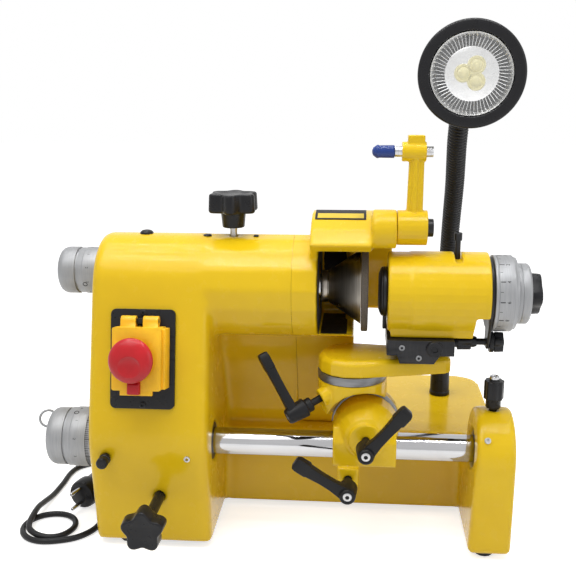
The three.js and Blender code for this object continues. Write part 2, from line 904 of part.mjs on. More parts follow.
function wheelBody() {
  const coneStart = hubEnd + hubNeck;
  const innerAt = (along) =>
    THREE.MathUtils.mapLinear(along, coneStart, coneEnd, hubRadius, coneRadius) - coneWall;
  const profile = [
    [hubStart, shaftRadius + seatGap],
    [hubStart, hubRadius],
    [hubEnd, hubRadius],
    [hubEnd, hubNeckRadius],
    [coneStart, hubNeckRadius],
    [coneStart, hubRadius],
    [coneEnd, coneRadius],
    [coneEnd, innerAt(coneEnd)],
    [cupFloor, innerAt(cupFloor)],
    [cupFloor, shaftRadius + seatGap],
    [hubStart, shaftRadius + seatGap],
  ];
  return turned("x", profile, 0, 0, roundSides + smallSides);
}

function abrasiveRim() {
  const profile = [
    [rimStart, rimInnerRadius],
    [rimStart, wheelRadius - rimChamfer],
    [rimStart + rimChamfer, wheelRadius],
    [rimEnd - rimChamfer, wheelRadius],
    [rimEnd, wheelRadius - rimChamfer],
    [rimEnd, rimInnerRadius],
    [rimStart, rimInnerRadius],
  ];
  return turned("x", profile, 0, 0, roundSides + smallSides);
}

function wheelNut() {
  const body = rod("x", nutRadius, cupFloor + seatGap, cupFloor + nutLength, 0, 0, 6);
  return cut(body, rod("x", threadRadius + seatGap, cupFloor - overrun, cupFloor + overrun, 0, 0, smallSides));
}

function spindlePulley() {
  const left = beltAlong - pulleyWidth / 2;
  const right = beltAlong + pulleyWidth / 2;
  return tube("x", spindlePulleyRadius, shaftRadius + seatGap, left, right);
}

function feedBracket() {
  const right = sleeveStart - seatGap;
  const left = right - feedBracketThickness;
  const y = spindleDialDepth - spindleDepth;
  const z = spindleDialHeight - spindleHeight;
  const arm = outlineOf([[0, feedBracketRound + z / 2], [y, z + feedBracketRound], [y, z - feedBracketRound], [0, z / 2 - feedBracketRound]]);
  const whole = join(rod("x", sleeveRadius, left, right), prism("x", arm, left, right), rod("x", feedBracketRound, left, right, y, z));
  const screwHole = rod("x", spindleDialScrewRadius + seatGap, left - overrun, right + overrun, y, z, smallSides);
  const shaftHole = rod("x", shaftRadius + 2 * seatGap, left - overrun, right + overrun, 0, 0, smallSides);
  return cut(whole, shaftHole, screwHole);
}

// A knurled feed knob with its graduated skirt: end is its face against the housing
function feedKnob(end, skirt, skirtRadius, knob, knobRadius, screwRadius, screwTo) {
  const start = end - skirt - dialGroove - knob;
  const neck = end - skirt;
  const profile = [
    [start, 0],
    [start, knobRadius - 2 * knobRounding],
    [start + knobRounding / 3, knobRadius - knobRounding],
    [start + knobRounding, knobRadius - knobRounding / 4],
    [start + 2 * knobRounding, knobRadius],
    [neck - dialGroove, knobRadius],
    [neck - dialGroove, knobRadius - dialGrooveDepth],
    [neck, knobRadius - dialGrooveDepth],
    [neck, skirtRadius],
    [end, skirtRadius],
    [end, screwRadius],
    [screwTo, screwRadius],
    [screwTo, 0],
  ];
  return turned("x", profile);
}

spindleGroup.add(meshOf("spindle_sleeve", spindleSleeve(), brightSteel()));
spindleGroup.add(meshOf("front_bearing", bearing(sleeveEnd - seatGap - bearingWidth / 2), brightSteel()));
spindleGroup.add(meshOf("rear_bearing", bearing(sleeveStart + seatGap + bearingWidth / 2), brightSteel()));
spindleGroup.add(meshOf("spindle_shaft", spindleShaft(), brightSteel()));
spindleGroup.add(meshOf("spindle_pulley", spindlePulley(), greyDial()));
spindleGroup.add(meshOf("drive_belt", driveBelt(), blackRubber()));
spindleGroup.add(meshOf("wheel_body", wheelBody(), brightSteel()));
spindleGroup.add(meshOf("abrasive_rim", abrasiveRim(), paint(0x55524d, 0.9)));
spindleGroup.add(meshOf("wheel_nut", wheelNut(), blackSteel()));
spindleGroup.add(meshOf("sleeve_feed_bracket", feedBracket(), blackSteel()));

const spindleDialGroup = groupAt(machine, 0, spindleDialDepth, spindleDialHeight);
const spindleFeedKnob = feedKnob(spindleDialLeft - seatGap, spindleDialLength, spindleDialRadius,
  spindleKnobLength, spindleDialRadius, spindleDialScrewRadius, sleeveStart + wall);
spindleDialGroup.add(meshOf("spindle_feed_knob", spindleFeedKnob, greyDial()));

// Guide bar with its sleeves and feed
const barGroup = groupAt(machine, 0, barDepth, barHeight);

function guideBar() {
  const hole = rod("x", feedScrewRadius + seatGap, barStart - overrun, barStart + feedScrewReach + overrun / 2, 0, 0, smallSides);
  const chamfer = barRadius / 12;
  const profile = [
    [barStart, 0],
    [barStart, barRadius - chamfer],
    [barStart + chamfer, barRadius],
    [barEnd - chamfer, barRadius],
    [barEnd, barRadius - chamfer],
    [barEnd, 0],
  ];
  return cut(turned("x", profile), hole);
}

const barSleeve = (from) => tube("x", barSleeveRadius, barRadius + seatGap, from, from + barSleeveLength);
const barFeedKnob = feedKnob(-housingWidth - seatGap, dialLength, barDialRadius, knobLength, barKnobRadius,
  feedScrewRadius, barStart + feedScrewReach);
barGroup.add(meshOf("guide_bar", guideBar(), chromeSteel()));
barGroup.add(meshOf("bar_sleeve_left", barSleeve(-barSleeveLength - barSleeveRecess), blackSteel()));
barGroup.add(meshOf("bar_sleeve_right", barSleeve(postLeft + postLean + barSleeveRecess), blackSteel()));
barGroup.add(meshOf("bar_feed_knob", barFeedKnob, greyDial()));

// Wheel guard with the dresser's boss
function guardSector(radius, inner, frontAngle, backAngle, from, to) {
  const outline = ringSector(radius, inner, frontAngle, backAngle, roundSides / 2);
  const geometry = prism("x", outline, from, to);
  return geometry.translate(0, spindleDepth, spindleHeight);
}

function wheelGuard() {
  const start = seamAlong + seatGap;
  const inner = hoodRadius - hoodThickness;
  const column = prism("x", columnOutline(deckTop + seatGap), start, guardEnd, 0, edgeSteps, castingSteps);
  const hood = guardSector(hoodRadius, inner, hoodFrontAngle, hoodBackAngle, hoodStart, hoodEnd);
  const side = guardSector(hoodRadius, noseRadius - wall, hoodFrontAngle, hoodBackAngle, hoodStart, hoodStart + hoodSideWall);
  const tail = guardSector(hoodRadius, inner, hoodTailAngle, hoodBackAngle, hoodEnd - wall, backWallEnd);
  const boss = rod("x", dresserBossRadius, hoodEnd - seatGap, backWallEnd, dresserDepth, dresserHeight - dresserBossDrop);
  const room = rod("x", inner, pocketStart, guardEnd + overrun * 3, spindleDepth, spindleHeight, roundSides);
  const mouth = block(pocketStart, guardEnd + overrun, -overrun, pocketBack, pocketFloor, spindleHeight + noseRadius + wall);
  const sideOpening = block(pocketEnd, guardEnd + overrun, -overrun, guardWallFront, pocketFloor, spindleHeight + inner);
  const endWall = block(pocketEnd, guardEnd, guardWallFront, pocketBack + wall, pocketFloor - wall, spindleHeight + noseRadius);
  const sleeveHole = rod("x", sleeveRadius + seatGap, start - overrun, pocketStart + overrun, spindleDepth, spindleHeight);
  const pivotHole = rod("x", pivotShankRadius + seatGap, backWallEnd - pivotShankLength, backWallEnd + overrun,
    dresserDepth, dresserHeight, smallSides);
  const cleared = cut(column, mouth);
  const shell = cut(join(hood, tail, boss, side), room);
  const wheelRoom = rod("x", wheelRadius + wall, pocketStart, backWallEnd + overrun, spindleDepth, spindleHeight);
  const opened = cut(join(cleared, cut(endWall, wheelRoom)), sideOpening);
  return cut(join(opened, shell), sleeveHole, pivotHole);
}

machine.add(meshOf("wheel_guard", wheelGuard(), yellowPaint()));

// Wheel dresser about its pivot axis
const dresserGroup = groupAt(machine, backWallEnd, dresserDepth, dresserHeight);

function dresserArm() {
  const centre = dresserHubLength / 2;
  const left = centre - dresserArmWidth / 2 + dresserRib / 2;
  const right = left + dresserArmWidth;
  const hub = rod("x", dresserHubRadius, seatGap, dresserHubLength);
  const arm = prism("y", outlineOf([[left, 0], [right, 0], [right, dresserReach], [left + dresserRib / 2, dresserReach]]),
    -dresserArmThickness / 2, dresserArmThickness / 2, dresserRib / 2);
  const rib = prism("y", outlineOf([[centre - dresserRib / 2, 0], [centre + dresserRib, 0], [centre + dresserRib, dresserReach], [centre, dresserReach]]),
    -dresserArmThickness / 2 - dresserRib / 2, dresserArmThickness / 2 + dresserRib / 2);
  const clampLeft = centre - dresserClampLength / 2;
  const clamp = rod("x", dresserClampRadius, clampLeft, clampLeft + dresserClampLength, 0, dresserReach);
  const top = block(right - dresserBlockWidth, right, -dresserArmThickness / 2, dresserArmThickness / 2,
    dresserReach, dresserReach + dresserBlockHeight);
  const pivotHole = rod("x", pivotShankRadius + seatGap, -overrun, dresserHubLength + overrun, 0, 0, smallSides);
  const holderHole = rod("x", diamondRadius + seatGap, -overrun, dresserHubLength + overrun, 0, dresserReach, smallSides);
  return cut(join(hub, arm, rib, clamp, top), pivotHole, holderHole);
}

function dresserPivot() {
  const head = dresserHubLength + seatGap;
  const tail = seatGap * 2 - pivotShankLength;
  const profile = [
    [tail, 0],
    [tail, pivotShankRadius],
    [head, pivotShankRadius],
    [head, pivotHeadRadius],
    [head + pivotHeadLength, pivotHeadRadius],
    [head + pivotHeadLength, 0],
  ];
  return turned("x", profile, 0, 0, smallSides);
}

const diamondTip = capStart + wall - backWallEnd;
const capEnd = capStart + capLength - backWallEnd;

function diamondHolder() {
  const profile = [
    [diamondTip, 0],
    [diamondTip + holderNoseRadius, holderNoseRadius],
    [capEnd + seatGap, holderNoseRadius],
    [capEnd + seatGap, diamondRadius],
    [dresserHubLength + wall / 2, diamondRadius],
    [dresserHubLength + wall / 2, 0],
  ];
  return turned("x", profile, 0, dresserReach, smallSides);
}

function diamondCap() {
  const left = capStart - backWallEnd;
  const bore = holderNoseRadius + seatGap;
  const profile = [
    [left, 0],
    [left, capRadius / 2],
    [left + capRadius / 3, capRadius * 0.9],
    [left + capRadius, capRadius],
    [capEnd, capRadius],
    [capEnd, bore],
    [diamondTip - seatGap, bore],
    [diamondTip - seatGap, 0],
  ];
  return turned("x", profile, 0, dresserReach, smallSides);
}

dresserGroup.add(meshOf("dresser_arm", dresserArm(), yellowPaint()));
dresserGroup.add(meshOf("dresser_pivot", dresserPivot(), blackSteel()));
dresserGroup.add(meshOf("diamond_holder", diamondHolder(), brightSteel()));
dresserGroup.add(meshOf("diamond_cap", diamondCap(), paint(0x1f4fa8, 0.45)));

// Star knobs, post knob and pull pin
function lobedOutline(radius, lobes) {
  const count = lobes * lobeSteps;
  return outlineOf(Array.from({ length: count }, (_, i) => {
    const angle = (2 * Math.PI * i) / count;
    const reach = radius * (1 - lobeDepthShare * (1 - Math.cos(lobes * angle)));
    return [reach * Math.cos(angle), reach * Math.sin(angle)];
  }));
}

// A lobed clamp knob along Z: its stud runs down from 0, its head ends at the top
function starKnob(radius, lobes, headFrom, headTo, hubFrom, studRadius, studTo) {
  const edge = (headTo - headFrom) / 5;
  const head = prism("z", lobedOutline(radius, lobes), headFrom, headTo, edge);
  const hub = turned("z", [
    [studTo, 0],
    [studTo, studRadius],
    [hubFrom, studRadius],
    [hubFrom, starHubRadius * 0.85],
    [headFrom + edge, starHubRadius],
    [headFrom + edge, 0],
  ], 0, 0, smallSides);
  return join(head, hub);
}

const noseTop = spindleHeight + noseRadius;
const sleeveKnobGroup = groupAt(machine, sleeveKnobAlong, spindleDepth, noseTop);
const sleeveKnob = starKnob(starKnobRadius, 6, starStudShow + starHubHeight, starStudShow + starHubHeight + starKnobHeight,
  starStudShow, starStudRadius, sleeveRadius + seatGap * 2 - noseRadius);
sleeveKnobGroup.add(meshOf("sleeve_clamp_knob", sleeveKnob, blackPlastic()));

// The front knob's own Z axis points at the operator
const frontKnobGroup = groupAt(machine, frontKnobAlong, chinAt(frontKnobHeight), frontKnobHeight);
frontKnobGroup.rotation.x = Math.PI / 2;
const frontKnob = starKnob(frontKnobRadius, 5, frontRodShow, frontRodShow + frontKnobDepth,
  frontRodShow - starHubHeight / 2, frontRodRadius, -frontRodSeat);
frontKnobGroup.add(meshOf("front_star_knob", frontKnob, blackPlastic()));

function pullPin() {
  const profile = [
    [-pinSeat, 0],
    [-pinSeat, pinShankRadius],
    [seatGap, pinShankRadius],
    [seatGap * 2, pinRadius],
    [pinShow - pinRadius / 3, pinRadius],
    [pinShow, pinRadius * 0.7],
    [pinShow, 0],
  ];
  return turned("z", profile, 0, 0, smallSides);
}

const pinGroup = groupAt(machine, pinAlong, chinAt(pinHeight) - pinRadius / 6, pinHeight);
pinGroup.rotation.x = Math.PI / 2;
pinGroup.add(meshOf("pull_pin", pullPin(), blackPlastic()));

function postKnob() {
  const knobBottom = postShankShow + postCollarHeight;
  const knobTop = knobBottom + postKnobHeight;
  const profile = [
    [-postShankSeat, 0],
    [-postShankSeat, postShankRadius],
    [postShankShow, postShankRadius],
    [postShankShow, postCollarRadius],
    [knobBottom, postCollarRadius],
    [knobBottom, postKnobRadius],
    [knobTop, postKnobRadius],
    [knobTop, postTipRadius],
    [knobTop + postTipHeight, postTipRadius],
    [knobTop + postTipHeight, 0],
  ];
  return turned("z", profile, 0, 0, smallSides);
}

const postKnobGroup = groupAt(machine, postKnobAlong, barDepth, postTop);
postKnobGroup.add(meshOf("post_knob", postKnob(), blackPlastic()));

// Switch: Z runs up the housing's leaning front and -Y out of it
const switchGroup = groupAt(machine, switchCentreAlong, 0, partingHeight);
switchGroup.rotation.x = -frontLean;

function switchBody() {
  const half = switchWidth / 2;
  const plate = prism("y", roundedRectangle(-half, switchBottom, half, switchBottom + switchHeight, switchCorner),
    -seatGap - switchPlateThickness, -seatGap);
  const inner = switchModuleWidth / 2;
  const module = block(-inner, inner, -seatGap - switchPlateThickness - switchModuleDepth, switchModuleSeat,
    switchMiddle - switchModuleHeight / 2, switchMiddle + switchModuleHeight / 2);
  const hingeHeight = switchCoverBottom + switchCoverHeight + hingeKnuckleReach;
  const post = block(-wall / 3, wall / 3, -hingeOutward - hingeKnuckleRadius / 2, -seatGap - switchPlateThickness / 2,
    hingeHeight - hingeKnuckleRadius / 2, hingeHeight + hingeKnuckleRadius / 2);
  const pinReach = hingeKnuckleSpread + hingeKnuckleWidth / 2;
  const pin = rod("x", hingePinRadius, -pinReach, pinReach, -hingeOutward, hingeHeight, smallSides);
  const holes = [-1, 1].map((side) =>
    rod("y", pushButtonRadius + seatGap, -overrun - switchModuleDepth, -switchPlateThickness - switchModuleDepth + pushButtonSeat,
      0, switchMiddle + side * pushButtonPitch / 2, smallSides));
  return cut(join(plate, module, post, pin), ...holes);
}

function switchCover() {
  const half = switchCoverWidth / 2;
  const top = switchCoverBottom + switchCoverHeight;
  const face = -switchCoverDepth;
  const floor = -seatGap * 2 - switchPlateThickness;
  const box = prism("y", roundedRectangle(-half, switchCoverBottom, half, top, switchCoverWall), face, floor);
  const hollow = block(switchCoverWall - half, half - switchCoverWall, face + switchCoverWall, overrun,
    switchCoverBottom + switchCoverWall, top - switchCoverWall);
  const hingeHeight = top + hingeKnuckleReach;
  const knuckles = [-1, 1].map((side) => {
    const centre = side * hingeKnuckleSpread;
    const from = centre - hingeKnuckleWidth / 2;
    const to = centre + hingeKnuckleWidth / 2;
    const strap = block(from, to, -hingeOutward - hingeKnuckleRadius, -hingeOutward + hingeKnuckleRadius / 2,
      top - switchCoverWall, hingeHeight);
    return join(rod("x", hingeKnuckleRadius, from, to, -hingeOutward, hingeHeight, smallSides), strap);
  });
  const tab = block(-coverTabWidth / 2, coverTabWidth / 2, face, face + switchCoverWall * 2,
    switchCoverBottom - coverTabHeight, switchCoverBottom + switchCoverWall);
  const pinHole = rod("x", hingePinRadius + seatGap, -switchCoverWidth, switchCoverWidth, -hingeOutward, hingeHeight, smallSides);
  const stemHole = rod("y", mushroomNeckRadius + seatGap, face - overrun, face + overrun / 2,
    mushroomAside, mushroomCentre);
  return cut(join(cut(box, hollow), ...knuckles, tab), pinHole, stemHole);
}

function stopMushroom() {
  const seat = -switchCoverDepth - seatGap;
  const neckTo = seat - mushroomShow;
  const crown = neckTo - mushroomHeight;
  const profile = [
    [crown, 0],
    [crown + mushroomHeight / 12, mushroomRadius * 0.5],
    [crown + mushroomHeight / 4, mushroomRadius * 0.85],
    [crown + mushroomHeight / 2, mushroomRadius],
    [crown + mushroomHeight * 0.8, mushroomRadius],
    [neckTo, mushroomRadius * 0.9],
    [neckTo, mushroomNeckRadius],
    [seat + mushroomShow, mushroomNeckRadius],
    [seat + mushroomShow, mushroomStemRadius],
    [seat + wall, mushroomStemRadius],
    [seat + wall, 0],
  ];
  return turned("y", profile, mushroomAside, mushroomCentre);
}

function pushButton(side) {
  const face = -seatGap - switchPlateThickness - switchModuleDepth;
  const height = switchMiddle + side * pushButtonPitch / 2;
  return rod("y", pushButtonRadius, face - pushButtonHeight / 2, face + pushButtonHeight, 0, height, smallSides);
}

switchGroup.add(meshOf("switch_body", switchBody(), blackPlastic()));
switchGroup.add(meshOf("switch_cover", switchCover(), paint(0xf3c915, 0.4)));
switchGroup.add(meshOf("stop_mushroom", stopMushroom(), paint(0xd42a24, 0.4)));
switchGroup.add(meshOf("start_button", pushButton(1), paint(0x2c9a4a, 0.45)));
switchGroup.add(meshOf("stop_button", pushButton(-1), paint(0xb3261e, 0.45)));

// Slide block on the bar, with the fixed half of the tilt joint
function slideBlock() {
  const section = outlineOf([
    [blockFront, blockToeHeight + clampSlit],
    [blockFront, blockTop - blockToe / 2],
    [blockToe, blockTop],
    [blockBack, blockTop],
    [blockBack, blockBottom + clampSlit],
    [blockBack - clampSlit, blockBottom],
    [blockToe + blockFront / 2, blockBottom],
  ]);
  const body = prism("x", section, blockLeft, blockRight);
  const rimFront = ringFront - seatGap;
  const dome = turned("y", [
    [domeFront, 0],
    [domeFront, domeBossRadius],
    [blockFront - clampSlit, domeBossRadius + clampSlit / 3],
    [blockFront, domeRadius * 0.62],
    [blockToe, domeRadius * 0.82],
    [blockToe + clampSlit * 4, domeRadius * 0.95],
    [rimFront - clampSlit, domeRadius],
    [rimFront, domeRadius],
    [rimFront, tiltRingBore - seatGap],
    [blockBack, tiltRingBore - seatGap],
    [blockBack, tiltPinRadius],
    [blockBack + tiltPinLength, tiltPinRadius],
    [blockBack + tiltPinLength, 0],
  ], tiltAlong, tiltHeight);
  const lug = block(lugAlong - lugWidth / 2, lugAlong + lugWidth / 2, lugFront, lugBack, lugBottom, blockBottom + wall);
  const ringRoom = tube("y", tiltRingRadius + saddleClearance, tiltRingBore - seatGap, ringFront - seatGap, blockBack + overrun,
    tiltAlong, tiltHeight);
  const barHole = rod("x", barRadius + seatGap, blockLeft - overrun, blockRight + overrun, barDepth, barHeight);
  const slit = block(blockLeft - overrun, blockRight + overrun, barDepth - clampSlit / 2, barDepth + clampSlit / 2,
    lugBottom - overrun, barHeight - barRadius / 2);
  const studHole = rod("y", leverStudRadius + seatGap, lugFront - overrun, lugFront + leverStudSeat + seatGap,
    lugAlong, (lugBottom + blockBottom) / 2 + clampSlit, smallSides);
  const tiltStudHole = rod("y", leverStudRadius + seatGap, -overrun, domeFront + leverStudSeat + seatGap,
    tiltAlong, tiltHeight, smallSides);
  const upper = cut(join(body, dome), cut(ringRoom, lowerHalf()));
  return cut(join(upper, lug), barHole, slit, studHole, tiltStudHole);
}

// Everything below the height where the tilt ring leaves the block
function lowerHalf() {
  return block(blockLeft - overrun, blockRight + overrun, 0, blockBack + overrun * 2, 0, barHeight + barRadius + wall);
}

function tiltScaleRing() {
  const ring = tube("y", tiltRingRadius, tiltRingBore, ringFront, blockBack, tiltAlong, tiltHeight, roundSides + smallSides);
  const kept = block(tiltAlong - tiltRingRadius * 2, tiltAlong + tiltRingRadius * 2, 0, blockBack + overrun,
    barHeight + barRadius + wall + seatGap, tiltHeight + tiltRingRadius * 2);
  return ring.intersect(kept);
}

function tiltBracket() {
  const top = swivelRingBottom - seatGap;
  const bottom = top - bowlHeight;
  const bowl = turned("z", [
    [bottom, 0],
    [bottom, swivelRadius * 0.45],
    [bottom + bowlHeight * 0.07, swivelRadius * 0.72],
    [bottom + bowlHeight * 0.18, swivelRadius * 0.9],
    [bottom + bowlHeight * 0.36, swivelRadius * 0.985],
    [top, swivelRadius],
    [top, swivelPinRadius],
    [top + swivelPinLength, swivelPinRadius],
    [top + swivelPinLength, 0],
  ], swivelAlong, swivelDepth);
  const discFrom = blockBack + seatGap;
  const discTo = discFrom + tiltDiscThickness;
  const disc = rod("y", tiltRingRadius, discFrom, discTo, tiltAlong, tiltHeight);
  const bridge = block(swivelAlong - swivelRadius * 0.6, tiltAlong + tiltRingRadius * 0.6, discFrom, discTo,
    tiltHeight + tiltRingRadius / 2, top - wall / 2);
  const reach = tiltRingRadius + saddleClearance;
  const saddleRoom = turned("y", [
    [-overrun, 0],
    [-overrun, reach + saddleFrontSpread + overrun * (saddleFrontSpread / saddleFrontReach)],
    [ringFront - saddleFrontReach, reach + saddleFrontSpread],
    [ringFront, reach],
    [discFrom, reach],
    [discFrom, 0],
  ], tiltAlong, tiltHeight);
  const pinHole = rod("y", tiltPinRadius + seatGap, discFrom - overrun, blockBack + tiltPinLength + seatGap * 2,
    tiltAlong, tiltHeight);
  const seat = leverSeat(swivelLever);
  return cut(join(cut(bowl, saddleRoom), disc, bridge, seat), pinHole, leverHole(swivelLever));
}

// Clamp levers: each is stood on its seat by the place of its stud's root and its own directions
const barLever = {
  name: "bar_clamp_lever",
  seat: new THREE.Vector3(lugAlong, lugFront, (lugBottom + blockBottom) / 2 + clampSlit),
  outward: new THREE.Vector3(0, -1, 0),
  grip: new THREE.Vector3(-0.85, 0, 0.53),
  reach: leverReach,
};
const tiltLever = {
  name: "tilt_clamp_lever",
  seat: new THREE.Vector3(tiltAlong, domeFront, tiltHeight),
  outward: new THREE.Vector3(0, -1, 0),
  grip: new THREE.Vector3(0.65, 0, 0.76),
  reach: leverReach,
};
const swivelLever = {
  name: "swivel_clamp_lever",
  seat: new THREE.Vector3(swivelAlong - swivelRadius * 0.89, swivelDepth - swivelRadius * 0.66, swivelRingBottom - bowlHeight * 0.4),
  outward: new THREE.Vector3(-0.832, -0.385, -0.398),
  grip: new THREE.Vector3(-0.552, 0.153, 0.816),
  reach: swivelLeverReach,
};

function leverFrame(lever) {
  const outward = lever.outward.clone().normalize();
  const across = new THREE.Vector3().crossVectors(outward, lever.grip).normalize();
  const grip = new THREE.Vector3().crossVectors(across, outward);
  return new THREE.Matrix4().makeBasis(grip, across, outward).setPosition(lever.seat);
}

function leverHole(lever) {
  const hole = new THREE.CylinderGeometry(leverStudRadius + seatGap, leverStudRadius + seatGap, 2 * leverStudSeat, smallSides);
  hole.applyMatrix4(revolveAlong.z).applyMatrix4(leverFrame(lever));
  return solidOf(hole);
}

// A round boss that gives a lever a flat seat on a curved casting
function leverSeat(lever) {
  const boss = new THREE.CylinderGeometry(leverHubRadius, leverHubRadius, leverStudSeat, smallSides);
  boss.translate(0, -leverStudSeat / 2, 0).applyMatrix4(revolveAlong.z).applyMatrix4(leverFrame(lever));
  return solidOf(boss);
}

function clampLever(reach) {
  const base = seatGap + leverStudShow;
  const tip = base + leverHubLength;
  const hub = turned("z", [
    [seatGap - leverStudSeat, 0],
    [seatGap - leverStudSeat, leverStudRadius],
    [base, leverStudRadius],
    [base, leverHubRadius * leverFootShare],
    [base + leverHubLength * leverStepShare, leverHubRadius * leverFootShare],
    [base + leverHubLength * leverStepShare, leverHubRadius],
    [tip - leverHubLength * leverCrownShare, leverHubTipRadius],
    [tip, leverHubTipRadius * 0.85],
    [tip, 0],
  ], 0, 0, smallSides);
  const handle = new THREE.Shape();
  handle.moveTo(0, -leverHubTipRadius);
  handle.quadraticCurveTo(reach * 0.3, -leverWaistRadius, reach * 0.5, -leverWaistRadius);
  handle.lineTo(reach - leverGripRadius, -leverGripRadius);
  handle.absarc(reach - leverGripRadius / 2, -leverGripRadius / 2, leverGripRadius / 2, -Math.PI / 2, 0);
  handle.absarc(reach - leverGripRadius / 2, leverGripRadius / 2, leverGripRadius / 2, 0, Math.PI / 2);
  handle.lineTo(reach * 0.5, leverWaistRadius);
  handle.quadraticCurveTo(reach * 0.3, leverWaistRadius, 0, leverHubTipRadius);
  handle.closePath();
  const from = tip - leverHubLength * leverCrownShare - leverThickness;
  return join(hub, prism("z", handle, from, from + leverThickness, leverThickness / 5));
}

function addLever(parent, lever) {
  const mesh = meshOf(lever.name, clampLever(lever.reach), blackPlastic());
  mesh.applyMatrix4(leverFrame(lever));
  parent.add(mesh);
}

machine.add(meshOf("slide_block", slideBlock(), yellowPaint()));
machine.add(meshOf("tilt_scale_ring", tiltScaleRing(), greyDial()));
machine.add(meshOf("tilt_bracket", tiltBracket(), yellowPaint()));
for (const lever of [barLever, tiltLever, swivelLever]) addLever(machine, lever);

// Swivel ring and arm
function swivelScaleRing() {
  const top = swivelRingBottom + swivelRingHeight;
  return tube("z", swivelRadius, swivelPinRadius + seatGap, swivelRingBottom, top, swivelAlong, swivelDepth, roundSides + smallSides);
}

const armBottom = swivelRingBottom + swivelRingHeight + seatGap;
const armTop = armBottom + armThickness;

function swivelArm() {
  const radius = swivelRadius - seatGap;
  const centre = new THREE.Vector2(swivelAlong, swivelDepth);
  const frontAngle = touchAngle(new THREE.Vector2(armRight, armFront), centre, radius, 1);
  const backAngle = touchAngle(new THREE.Vector2(armRight, armBack), centre, radius, -1);
  const corner = (armBack - armFront) / 6;
  const outline = new THREE.Shape();
  outline.absarc(centre.x, centre.y, radius, backAngle, frontAngle);
  outline.lineTo(armRight - corner, armFront);
  outline.lineTo(armRight, armFront + corner);
  outline.lineTo(armRight, armBack - corner);
  outline.lineTo(armRight - corner, armBack);
  outline.closePath();
  const plate = prism("z", outline, armBottom - armEdge, armTop, armEdge);
  const below = block(0, armRight * 2, -overrun, castingBack, armBottom - overrun, armBottom);
  const pinHole = rod("z", swivelPinRadius + seatGap, 0, armBottom + seatGap * 2, swivelAlong, swivelDepth);
  return cut(plate, below, pinHole);
}

// Carriage on the arm with the dovetail for the head
function dovetail(grow) {
  const half = dovetailWidth / 2 + grow;
  const base = carriageTop;
  return outlineOf([
    [headDepth - half, base - seatGap],
    [headDepth - half - dovetailSpread, base + dovetailHeight + grow],
    [headDepth + half + dovetailSpread, base + dovetailHeight + grow],
    [headDepth + half, base - seatGap],
  ]);
}

function carriage() {
  const foot = armTop + seatGap;
  const lower = prism("y", outlineOf([
    [carriageFootLeft, foot],
    [carriageFootRight, foot],
    [carriageFootRight + carriageStep, carriageBottom],
    [carriageFootLeft - carriageStep / 2, carriageBottom],
  ]), carriageFront, carriageBack);
  const upper = block(carriageLeft, carriageRight, carriageFront, carriageBack, carriageBottom, carriageTop);
  const rail = prism("x", dovetail(0), dovetailStart, carriageRight - carriageStep);
  const feedHole = rod("x", feedRodRadius + seatGap, carriageRight - feedRodSeat - seatGap, carriageRight + overrun,
    feedDepth, feedHeight, smallSides);
  return cut(join(lower, upper, rail), feedHole);
}

machine.add(meshOf("swivel_scale_ring", swivelScaleRing(), greyDial()));
machine.add(meshOf("swivel_arm", swivelArm(), yellowPaint()));
machine.add(meshOf("carriage", carriage(), blackSteel()));

// Work head about its index axis
const headGroup = groupAt(machine, 0, headDepth, headHeight);
const headBottom = carriageTop + seatGap - headHeight;

function headBody() {
  const barrel = turned("x", [
    [headStart, 0],
    [headStart, headNoseRadius - seatGap * 4],
    [headStart + seatGap * 4, headNoseRadius],
    [headStart + headNoseLength, headNoseRadius],
    [headStart + headNoseLength + wall / 4, headRadius],
    [headEnd, headRadius],
    [headEnd, 0],
  ], 0, 0, roundSides + smallSides);
  const base = block(headFootStart, headFootEnd, -headFootWidth / 2, headFootWidth / 2, headBottom, -headRadius / 2);
  const flat = block(headStart - overrun, headEnd + overrun, -headRadius * 2, headRadius * 2, headBottom - overrun, headBottom);
  const bore = rod("x", indexSpindleRadius + seatGap, headStart - overrun, headEnd + overrun);
  const notch = block(headNotchStart, headEnd + overrun, -headRadius * 2, headRadius * 2, -headRadius * 2, -headNotchHeight);
  const slot = block(headSlotStart, headSlotStart + headSlotWidth, -headRadius * 2, headRadius * 2, headSlotFloor, headRadius * 2);
  const rail = prism("x", dovetail(seatGap), headStart - overrun, headEnd + overrun).translate(0, -headDepth, -headHeight);
  return cut(join(barrel, base), flat, bore, notch, slot, rail);
}

function indexSpindle() {
  const profile = [
    [noseFlangeStart, indexBore],
    [noseFlangeStart, noseFlangeRadius],
    [noseFlangeEnd, noseFlangeRadius],
    [noseFlangeEnd, indexSpindleRadius],
    [headEnd + flangeThickness + dialGap * 2, indexSpindleRadius],
    [headEnd + flangeThickness + dialGap * 2, drawbarRodRadius * 1.6],
    [headEnd + flangeThickness + indexDialLength, drawbarRodRadius * 1.6],
    [headEnd + flangeThickness + indexDialLength, indexBore],
    [noseFlangeStart, indexBore],
  ];
  const tab = block(noseFlangeStart, noseFlangeEnd, -noseTabWidth / 2, noseTabWidth / 2, -noseTabReach, -indexSpindleRadius);
  return join(turned("x", profile), tab);
}

function colletNut() {
  const end = noseFlangeStart - seatGap;
  const step = (end - colletNutStart) / 2;
  const profile = [
    [colletNutStart, colletBore],
    [colletNutStart, colletNutMouthRadius],
    [colletNutStart + step, colletNutRadius],
    [end, colletNutRadius],
    [end, colletBore],
    [colletNutStart, colletBore],
  ];
  return turned("x", profile);
}

